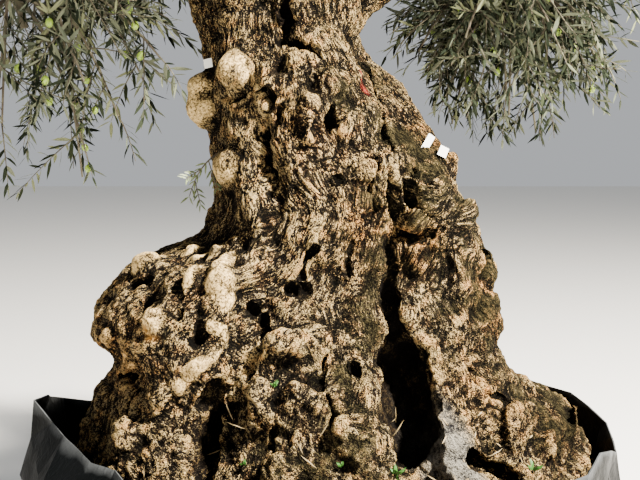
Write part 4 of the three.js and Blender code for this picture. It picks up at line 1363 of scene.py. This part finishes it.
def fruit_material(settings):
    """Unripe olives: a taut waxy skin, lime green with pale dots."""
    made, tree, shader = material("unripe olive skin")
    place = add(tree, COORDINATES, {}, "Object")
    # Pale dots about 1.5 mm across.
    dots = add(tree, NOISE, {"Vector": place, "Scale": 600.0})
    tint = add(tree, RAMP, {"Fac": dots}, stops=((0.40, settings.fruit), (0.75, linear("#a3b552"))))
    feed(tree, shader, {"Base Color": tint, "Roughness": 0.32})
    return made


def fruit_bodies(hooks, length, seed):
    """Olives that hang from their stalks below the hooks."""
    stalk_radius, stalk_length, stalk_drop = 0.0009, 0.012, 0.008
    rng = np.random.default_rng(seed)
    bm = bmesh.new()
    for hook in hooks:
        size = length * rng.uniform(0.85, 1.1)
        tilt = Matrix.Rotation(rng.normal(0, 0.25), 4, "X") @ Matrix.Rotation(rng.normal(0, 0.25), 4, "Y")
        drop = Matrix.Translation(Vector(hook)) @ tilt @ Matrix.Translation((0, 0, -stalk_drop - size / 2))
        shape = drop @ Matrix.Diagonal((size * 0.38, size * 0.38, size * 0.5, 1))
        bmesh.ops.create_icosphere(bm, subdivisions=2, radius=1, matrix=shape)
        stalk = drop @ Matrix.Translation((0, 0, size / 2 + stalk_length / 4))
        bmesh.ops.create_cone(bm, cap_ends=True, segments=4, radius1=stalk_radius, radius2=stalk_radius,
                              depth=stalk_length, matrix=stalk)
    for face in bm.faces:
        face.smooth = True
    return mesh_from(bm, "olives")


class OLIVE_OT_foliage(bpy.types.Operator):
    """Twigs, leaves and fruit of every mass"""

    bl_idname = "olive.foliage"
    bl_label = "Foliage"

    def execute(self, context):
        settings = context.scene.olive_foliage
        leaf_skins = leaf_materials(settings)
        twig_skin = twig_material(settings)
        hooks = []
        for index, name in enumerate(MASSES):
            seed = FOLIAGE_SEED + SEED_STEP * index
            rng = np.random.default_rng(seed + 3)
            stem, branches = branches_of(name, seed, settings.branches)
            shoots = shoots_of(name, branches, settings.shoots, seed)
            root, direction, normal, size, spray = leaves_along(name, shoots, settings, seed)
            shade = rng.choice(len(SPRAY_SHADES), len(shoots), p=SPRAY_SHARES)[spray]
            length = size * settings.leaf_length
            width = size * settings.leaf_width * rng.uniform(0.8, 1.15, len(size))
            bow = length * rng.uniform(-0.02, 0.07, len(size))
            points, faces, slots = blades(root, direction, normal, length, width, bow, shade,
                                          len(SPRAY_SHADES))
            mesh = mesh_of(f"leaves_{name}", points, [faces], slots, smooth=False)
            add_object(f"leaves_{name}", mesh, leaf_skins, "leaf", f"foliage_{name}")
            bough_tip = BOUGHS[name][1][1] * MM
            points, faces = joined([twig_tubes(stem[None], bough_tip * 0.96, 0.009, 10, 12),
                                    twig_tubes(branches, 0.0055, 0.0023, 5, 9),
                                    twig_tubes(shoots, 0.0021, 0.0009, 3, 4)])
            mesh = mesh_of(f"twigs_{name}", points, faces)
            add_object(f"twigs_{name}", mesh, [twig_skin], "bark", f"foliage_{name}")
            # The masses at the photograph's height carry most of the fruit.
            fruit = round(settings.olives * (0.16 if "low" in name or name in ("left", "right") else 0.06))
            chosen = rng.choice(len(shoots), min(fruit, len(shoots)), replace=False)
            hooks.extend(bezier(shoots[chosen], rng.uniform(0.15, 0.6, len(chosen))))
        mesh = fruit_bodies(hooks, settings.olive_length, FOLIAGE_SEED)
        add_object("olives", mesh, [fruit_material(settings)], "leaf",
                   *(f"foliage_{name}" for name in MASSES))
        return {"FINISHED"}


class OLIVE_OT_shoot(bpy.types.Operator):
    """The small pale shoot that springs from the trunk's waist"""

    bl_idname = "olive.shoot"
    bl_label = "Shoot on the trunk"

    def execute(self, context):
        settings = context.scene.olive_foliage
        stem = to_metres(SHOOT_ON_TRUNK)
        stem[0] += SHOOT_ROOT_SHIFT
        rng = np.random.default_rng(7)
        curves = [stem]
        for share, reach in SHOOT_FORKS:
            at = bezier(stem, share)
            curves.append((at, at + np.array(reach) * 0.6, at + np.array(reach)))
        curves = np.array(curves)
        rows = []
        for curve, (first, pairs) in zip(curves, SHOOT_PAIRS):
            for share in np.linspace(first, 1, pairs):
                heading = bezier_heading(curve, share)
                side = unit(np.cross(heading, (0, -1, 0.2)))
                for sign in (1, -1):
                    rows.append((bezier(curve, share),
                                 unit(heading + sign * 0.7 * side + rng.normal(0, 0.2, 3)),
                                 np.array((0.2, -1, 0.5)) + rng.normal(0, 0.3, 3)))
        root, direction, normal = (np.array(column) for column in zip(*rows))
        size = rng.uniform(0.6, 1.0, len(root))
        points, faces, slots = blades(root, direction, squared(normal, direction), size * 0.030,
                                      size * 0.0052, size * 0.002, np.zeros(len(root), int), 1)
        # Young leaves are greener than the rest, and not yet felted below.
        made = [plain_material(f"young olive leaf {side}", linear(code), {"Roughness": 0.5})
                for side, code in (("upper", "#5c6640"), ("under", "#7c8366"))]
        made.append(twig_material(settings))
        stems = twig_tubes(curves, np.array([0.0026, 0.0015, 0.0015, 0.0015]), 0.0009, 5, 10)
        points, faces = joined([(points, [faces]), stems])
        slots = np.concatenate([slots if part.shape[1] == 3 else np.full(len(part), 2) for part in faces])
        mesh = mesh_of("trunk_shoot_leaves", points, faces, slots, smooth=False)
        add_object("trunk_shoot_leaves", mesh, made, "leaf", "trunk_shoot")
        return {"FINISHED"}


def rim_at(degrees):
    """The rim's height above the soil and its lean, in millimetres."""
    after = np.clip(np.searchsorted(RIM[:, 0], degrees, side="right"), 1, len(RIM) - 1)
    low, high = RIM[after - 1], RIM[after]
    share = (degrees - low[:, 0]) / (high[:, 0] - low[:, 0])
    share = share * share * (3 - 2 * share)
    return between((low[:, 1], high[:, 1]), share), between((low[:, 2], high[:, 2]), share)


def pot_radius(angle, height):
    """The plain pot's radius, in millimetres."""
    share = height / SOIL_HEIGHT
    straight = POT_FOOT_RADIUS + (POT_TOP_RADIUS - POT_FOOT_RADIUS) * (1 - (1 - share) ** 2)
    waves = sum(part * np.sin(count * angle + phase) for count, part, phase in POT_FOLDS)
    return straight + POT_FOLD_DEPTH * share * waves


def pot_film():
    """The wall and floor as one creased sheet: flat facets that meet in sharp folds."""
    crumple = bpy.context.scene.olive_pot.crumple / MM
    rng = np.random.default_rng(3)
    net = (FILM_COLUMNS, FILM_ROWS + 1)
    shift_u = rng.uniform(-0.38, 0.38, net)
    shift_r = rng.uniform(-1, 1, net)
    shift_v = rng.uniform(-0.3, 0.3, net)

    def place(u, v):
        column = np.round(u * FILM_COLUMNS).astype(int) % FILM_COLUMNS
        row = np.round(v * FILM_ROWS).astype(int)
        inner = (row > FILM_FLOOR_ROWS) & (row < FILM_ROWS)
        wall = (row - FILM_FLOOR_ROWS + shift_v[column, row] * inner) / (FILM_ROWS - FILM_FLOOR_ROWS)
        wall = np.clip(wall, 0, 1)
        degrees = wrap_degrees((u + shift_u[column, row] * (row < FILM_ROWS) / FILM_COLUMNS) * 360)
        rise, lean = rim_at(degrees)
        angle = np.radians(degrees)
        height = (SOIL_HEIGHT + rise) * wall ** 0.92
        ragged = 0.6 * crumple * shift_r[column, row] * np.clip(wall * 1.6 - 0.25, 0.12, 1)
        flop = np.clip((height - SOIL_HEIGHT) / np.maximum(rise, 1), 0, 1) ** 2
        radius = pot_radius(angle, height) + 4 - ragged - lean * flop
        radius = np.where(row < FILM_FLOOR_ROWS, radius * row / FILM_FLOOR_ROWS, radius)
        return round_pot(angle, radius, np.where(row <= FILM_FLOOR_ROWS, 0, height))
    return sheet(FILM_COLUMNS, FILM_ROWS, place, closed_ends=False)


def film_material(settings):
    """Black polyethylene film, blown and welded: half glossy, creased, dusty where it lies flat."""
    made, tree, shader = material("black polyethylene film")
    place = add(tree, COORDINATES, {}, "Object")
    # Wrinkles of about 17 mm, dust in patches of about 60 mm with 3 mm specks.
    wrinkles = add(tree, NOISE, {"Vector": place, "Scale": 60.0, "Detail": 3.0, "Distortion": 0.8})
    patches = add(tree, NOISE, {"Vector": place, "Scale": 16.0, "Detail": 4.0})
    specks = add(tree, NOISE, {"Vector": place, "Scale": 320.0, "Detail": 2.0})
    dust = add(tree, MATH, {0: patches, 1: specks}, operation="MULTIPLY")
    dusty = add(tree, RAMP, {"Fac": dust}, stops=((0.30, settings.plastic), (0.50, linear("#0e0f11"))))
    # Scuffs whiten the sharpest creases, and the whitening is also a painted highlight on them.
    sharp = add(tree, "ShaderNodeNewGeometry", {}, "Pointiness")
    scuff_and_highlight = add(tree, MAP_RANGE, {"Value": sharp, "From Min": 0.54, "From Max": 0.62, "To Max": 0.5})
    tint = add(tree, MIX, {0: scuff_and_highlight, 6: dusty, 7: solid(linear("#6d7072"))}, 2, data_type="RGBA")
    rough = add(tree, MAP_RANGE, {"Value": patches, "From Min": 0.3, "From Max": 0.7, "To Min": 0.34,
                                  "To Max": 0.58})
    bump = add(tree, BUMP, {"Height": wrinkles, "Strength": 0.5, "Distance": 0.004})
    feed(tree, shader, {"Base Color": tint, "Roughness": rough, "IOR": 1.51, "Specular IOR Level": 0.038,
                        "Normal": bump})
    return made


class OLIVE_OT_pot(bpy.types.Operator):
    """The soft black pot, creased and open at its uneven rim"""

    bl_idname = "olive.pot"
    bl_label = "Pot"

    def execute(self, context):
        settings = context.scene.olive_pot
        bm = pot_film()
        bmesh.ops.triangulate(bm, faces=bm.faces)
        bmesh.ops.subdivide_edges(bm, edges=bm.edges, cuts=3, use_grid_fill=True)
        place = points_of_bmesh(bm)
        sag = 0.0012 * noise(place, 0.05, 71)
        floor_edge = 0.004
        for vertex, at, push in zip(bm.verts, unit(place * (1, 1, 0)), sag):
            if vertex.co.z > floor_edge:
                vertex.co += Vector(at) * push
        mesh = finished(mesh_from(bm, "pot_film"), "film",
                        ("SOLIDIFY", dict(thickness=settings.film, offset=-1.0)))
        mesh.polygons.foreach_set("use_smooth", np.full(len(mesh.polygons), True))
        mesh.set_sharp_from_angle(angle=math.radians(FOLD_ANGLE))
        add_object("pot_film", mesh, [film_material(settings)], "film", "pot")
        return {"FINISHED"}


def soil_rise(points):
    """Height of the soil's lumps at points across it, in metres."""
    flat = points * (1, 1, 0)
    heap = 0.010 * noise(flat, 0.16, 61) + 0.005 * noise(flat, 0.04, 62) + 0.003 * noise(flat, 0.014, 63)
    return heap + 0.006


def soil_material(settings):
    """Potting soil: dried crumbs of peat and bark, pale on top, with painted shade near black between them.
    """
    made, tree, shader = material("dry potting soil")
    place = add(tree, COORDINATES, {}, "Object")
    # Crumbs of about 8 mm and grit of about 3 mm.
    crumbs = add(tree, NOISE, {"Vector": place, "Scale": 125.0, "Detail": 4.0, "Roughness": 0.7})
    grit = add(tree, "ShaderNodeTexVoronoi", {"Vector": place, "Scale": 330.0})
    # Low spots between the crumbs are painted near black as shade.
    tint = add(tree, RAMP, {"Fac": crumbs}, stops=(
        (0.38, linear("#050403")), (0.50, settings.earth), (0.68, linear("#443626"))))
    height = add(tree, MATH, {0: crumbs, 1: grit}, operation="ADD")
    bump = add(tree, BUMP, {"Height": height, "Strength": 0.9, "Distance": 0.004})
    feed(tree, shader, {"Base Color": tint, "Roughness": 1.0, "Specular IOR Level": 0.04, "Normal": bump})
    return made


def root_ball():
    """A closed body: its lumpy top, from the middle out, then its side down to its flat underside."""
    lumpy, top, lip, side = 0.79, 0.80, 0.82, 0.16

    def place(u, v):
        angle = np.radians(wrap_degrees(u * 360))
        on_top = v < lip
        height = np.where(on_top, SOIL_HEIGHT, SOIL_HEIGHT * np.clip((1 - v) / side, 0, 1))
        height = np.maximum(height, SOIL_FLOOR_GAP)
        outer = pot_radius(angle, height) - SOIL_WALL_GAP
        radius = np.minimum(outer * np.where(on_top, v / top, 1), outer)
        radius = np.where(v > 0.999, 0, radius)
        points = round_pot(angle, radius, height)
        points[:, 2] += np.where(on_top & (v < lumpy), soil_rise(points), 0)
        return points
    return sheet(260, 100, place, closed_ends=False)


def bark_spot(pieces, angle, height, out):
    """A point just off the outermost bark at an angle and height, and the direction that faces out there."""
    turn = math.radians(angle)
    facing = Vector((math.sin(turn), -math.cos(turn), 0))
    start = Vector(on_bark(turn, height)) + facing * 0.35
    for piece in pieces:
        hit, spot, _, _ = piece.ray_cast(start, -facing, distance=0.5)
        if hit:
            break
    else:
        raise RuntimeError(f"no bark at angle {angle}, height {height}")
    return np.array(spot + facing * out), np.array(facing)


class OLIVE_OT_trims(bpy.types.Operator):
    """Blank plant tags, weeds in the crevices and straw caught on the trunk's foot"""

    bl_idname = "olive.trims"
    bl_label = "Tags, weeds and straw"

    def execute(self, context):
        bark = [bpy.data.objects[f"bark_{part}"] for part in ("foot_front", "waist_front", "neck_front")]
        self.tie_tags(bark)
        self.plant_weeds(bark)
        return {"FINISHED"}

    def tie_tags(self, bark):
        """Plant tags that stand a little off the bark."""
        bm = bmesh.new()
        for angle, height, wide, tall, roll in TAGS:
            spot, _ = bark_spot(bark, angle, height, 0.010)
            turn = Matrix.Rotation(math.radians(angle * 0.4), 4, "Z") \
                @ Matrix.Rotation(math.radians(roll), 4, "Y")
            bmesh.ops.create_cube(bm, size=1, matrix=Matrix.Translation(spot) @ turn
                                  @ Matrix.Diagonal((wide * MM, 0.0012, tall * MM, 1)))
        bmesh.ops.bevel(bm, geom=bm.edges[:], offset=0.0003, segments=1, profile=0.5, material=-1,
                        affect="EDGES")
        # Sheet plastic, cut to strips: white, smooth and half matt.
        made = plain_material("white tag plastic", linear("#d9d8d2"), {"Roughness": 0.45})
        add_object("plant_tags", mesh_from(bm, "plant_tags"), [made], None)

    def plant_weeds(self, bark):
        """Rosettes of weeds in crevices, then straw that lies flat on the trunk's foot."""
        rng = np.random.default_rng(15)
        off_bark = 0.003
        rows = []
        for angle, height, reach in WEEDS:
            spot, facing = bark_spot(bark, angle, height, off_bark)
            for _ in range(WEED_LEAVES):
                direction = unit(facing * 0.5 + rng.normal(0, 0.55, 3) + (0, 0, 0.7))
                rows.append((spot, direction, facing + rng.normal(0, 0.3, 3),
                             reach * rng.uniform(0.6, 1.1), 0))
        for _ in range(STRAWS):
            spot, facing = bark_spot(bark, rng.uniform(-40, 60), 20 + 200 * rng.uniform(0, 1) ** 2, off_bark)
            direction = unit(np.cross(facing, rng.normal(0, 1, 3)) + facing * 0.15)
            rows.append((spot, direction, facing + rng.normal(0, 0.3, 3), rng.uniform(14, 46), 1))
        root, direction, normal, length, kind = (np.array(column) for column in zip(*rows))
        width = np.where(kind == 0, length * 0.34, 2.6) * MM
        points, faces, slots = blades(root, direction, squared(normal, direction), length * MM, width,
                                      length * MM * rng.uniform(0.0, 0.12, len(length)), kind, 0)
        # Weeds are fresh and juicy green, straw is dull and bleached.
        made = [plain_material(name, linear(code), {"Roughness": 0.6})
                for name, code in (("fresh weed leaf", "#27500f"), ("dry straw", "#82704d"))]
        mesh = mesh_of("weeds_and_straw", points, [faces], slots, smooth=False)
        add_object("weeds_and_straw", mesh, made, "leaf")


class OLIVE_OT_soil(bpy.types.Operator):
    """The root ball with its crumbly top and fallen leaves"""

    bl_idname = "olive.soil"
    bl_label = "Soil"

    def execute(self, context):
        settings = context.scene.olive_pot
        bm = root_ball()
        for face in bm.faces:
            face.smooth = True
        add_object("root_ball", mesh_from(bm, "root_ball"), [soil_material(settings)], "soil", "soil")
        self.strew(settings.litter)
        return {"FINISHED"}

    def strew(self, count):
        """Fallen leaves lying on the soil between the trunk and the wall."""
        rng = np.random.default_rng(9)
        angle = rng.uniform(-np.pi, np.pi, count)
        inner = np.linalg.norm(trunk_form(angle, np.zeros(count))[:, :2], axis=1) + 6
        outer = pot_radius(angle, SOIL_HEIGHT) - 36
        root = round_pot(angle, between((inner, outer), rng.uniform(0, 1, count)), np.zeros(count))
        root[:, 2] = SOIL_LEVEL + soil_rise(root) + 0.002
        heading = rng.uniform(0, 2 * np.pi, count)
        direction = unit(np.column_stack((np.cos(heading), np.sin(heading), rng.normal(0.03, 0.10, count))))
        normal = UP + rng.normal(0, 0.25, (count, 3))
        size = rng.uniform(0.6, 1.05, count)
        bow = size * rng.uniform(-0.003, 0.005, count)
        # Dead olive leaves: dry and leathery, in browns from fresh to old.
        browns = ("#6b5230", "#3a2816", "#78623e")
        made = [plain_material(f"dry olive leaf {number + 1}", linear(code),
                               {"Roughness": 0.8, "Specular IOR Level": 0.1})
                for number, code in enumerate(browns)]
        points, faces, slots = blades(root, direction, squared(normal, direction), size * 0.055,
                                      size * 0.011, bow, rng.choice(len(browns), count), 0)
        mesh = mesh_of("fallen_leaves", points, [faces], slots, smooth=False)
        add_object("fallen_leaves", mesh, made, "leaf")


class OLIVE_OT_stage(bpy.types.Operator):
    """Pale floor, soft studio light and the camera"""

    bl_idname = "olive.stage"
    bl_label = "Floor, light and camera"

    def execute(self, context):
        settings = context.scene.olive_stage
        scene = context.scene
        bm = bmesh.new()
        bmesh.ops.create_grid(bm, x_segments=2, y_segments=2, size=30)
        bmesh.ops.translate(bm, verts=bm.verts, vec=(0, 0, -0.001))
        mesh = mesh_from(bm, "floor")
        floor = bpy.data.objects.new("floor", mesh)
        scene.collection.objects.link(floor)
        # Matt paint.
        mesh.materials.append(plain_material("matt studio floor", settings.floor, {"Roughness": 0.9}))

        world = bpy.data.worlds.new("studio surround")
        world.use_nodes = True
        feed(world.node_tree, world.node_tree.nodes["Background"],
             {"Color": (0.93, 0.96, 1.0, 1), "Strength": settings.sky})
        scene.world = world

        for name, power, size, at, tone in (
                ("key", settings.key_power, 0.6, (4.3, -3.2, 6.0), (1.0, 0.94, 0.84)),
                ("fill", settings.fill_power, 4.0, (-4.0, -3.5, 3.0), (0.86, 0.92, 1.0))):
            light = bpy.data.lights.new(name, "AREA")
            light.energy = power
            light.size = size
            light.color = tone
            lamp = bpy.data.objects.new(name, light)
            lamp.location = at
            aim = Vector(LAMP_TARGET) - Vector(at)
            lamp.rotation_euler = aim.to_track_quat("-Z", "Y").to_euler()
            scene.collection.objects.link(lamp)

        lens = bpy.data.cameras.new("camera")
        lens.sensor_width = 36
        lens.lens = lens.sensor_width * FOCAL_LENGTH / PHOTO_WIDTH
        camera = bpy.data.objects.new("camera", lens)
        camera.location = CAMERA_PLACE
        camera.rotation_euler = (math.radians(90 - CAMERA_DIP), 0, 0)
        scene.collection.objects.link(camera)
        scene.camera = camera
        return {"FINISHED"}


class OLIVE_PT_panel(bpy.types.Panel):
    """Lists the pieces of the tree"""

    bl_label = "Olive tree"
    bl_idname = "OLIVE_PT_panel"
    bl_space_type = "VIEW_3D"
    bl_region_type = "UI"
    bl_category = "Olive"

    def draw(self, context):
        for operator in PIECES:
            self.layout.operator(operator.bl_idname)
        for name in SETTINGS:
            group = getattr(context.scene, name)
            box = self.layout.box()
            for key in group.__annotations__:
                box.prop(group, key)


PIECES = (OLIVE_OT_stage, OLIVE_OT_wood, OLIVE_OT_trims, OLIVE_OT_foliage, OLIVE_OT_shoot, OLIVE_OT_pot,
          OLIVE_OT_soil)
SETTINGS = {
    "olive_bark": OliveBark,
    "olive_foliage": OliveFoliage,
    "olive_pot": OlivePot,
    "olive_stage": OliveStage,
}


def register():
    for kind in (*SETTINGS.values(), *PIECES, OLIVE_PT_panel):
        bpy.utils.register_class(kind)
    for name, kind in SETTINGS.items():
        setattr(bpy.types.Scene, name, bpy.props.PointerProperty(type=kind))


def unregister():
    for name in SETTINGS:
        delattr(bpy.types.Scene, name)
    for kind in reversed((*SETTINGS.values(), *PIECES, OLIVE_PT_panel)):
        bpy.utils.unregister_class(kind)


def main():
    register()
    bpy.ops.olive.stage()
    bpy.ops.olive.wood()
    bpy.ops.olive.trims()
    bpy.ops.olive.foliage()
    bpy.ops.olive.shoot()
    bpy.ops.olive.pot()
    bpy.ops.olive.soil()


if __name__ == "__main__":
    main()
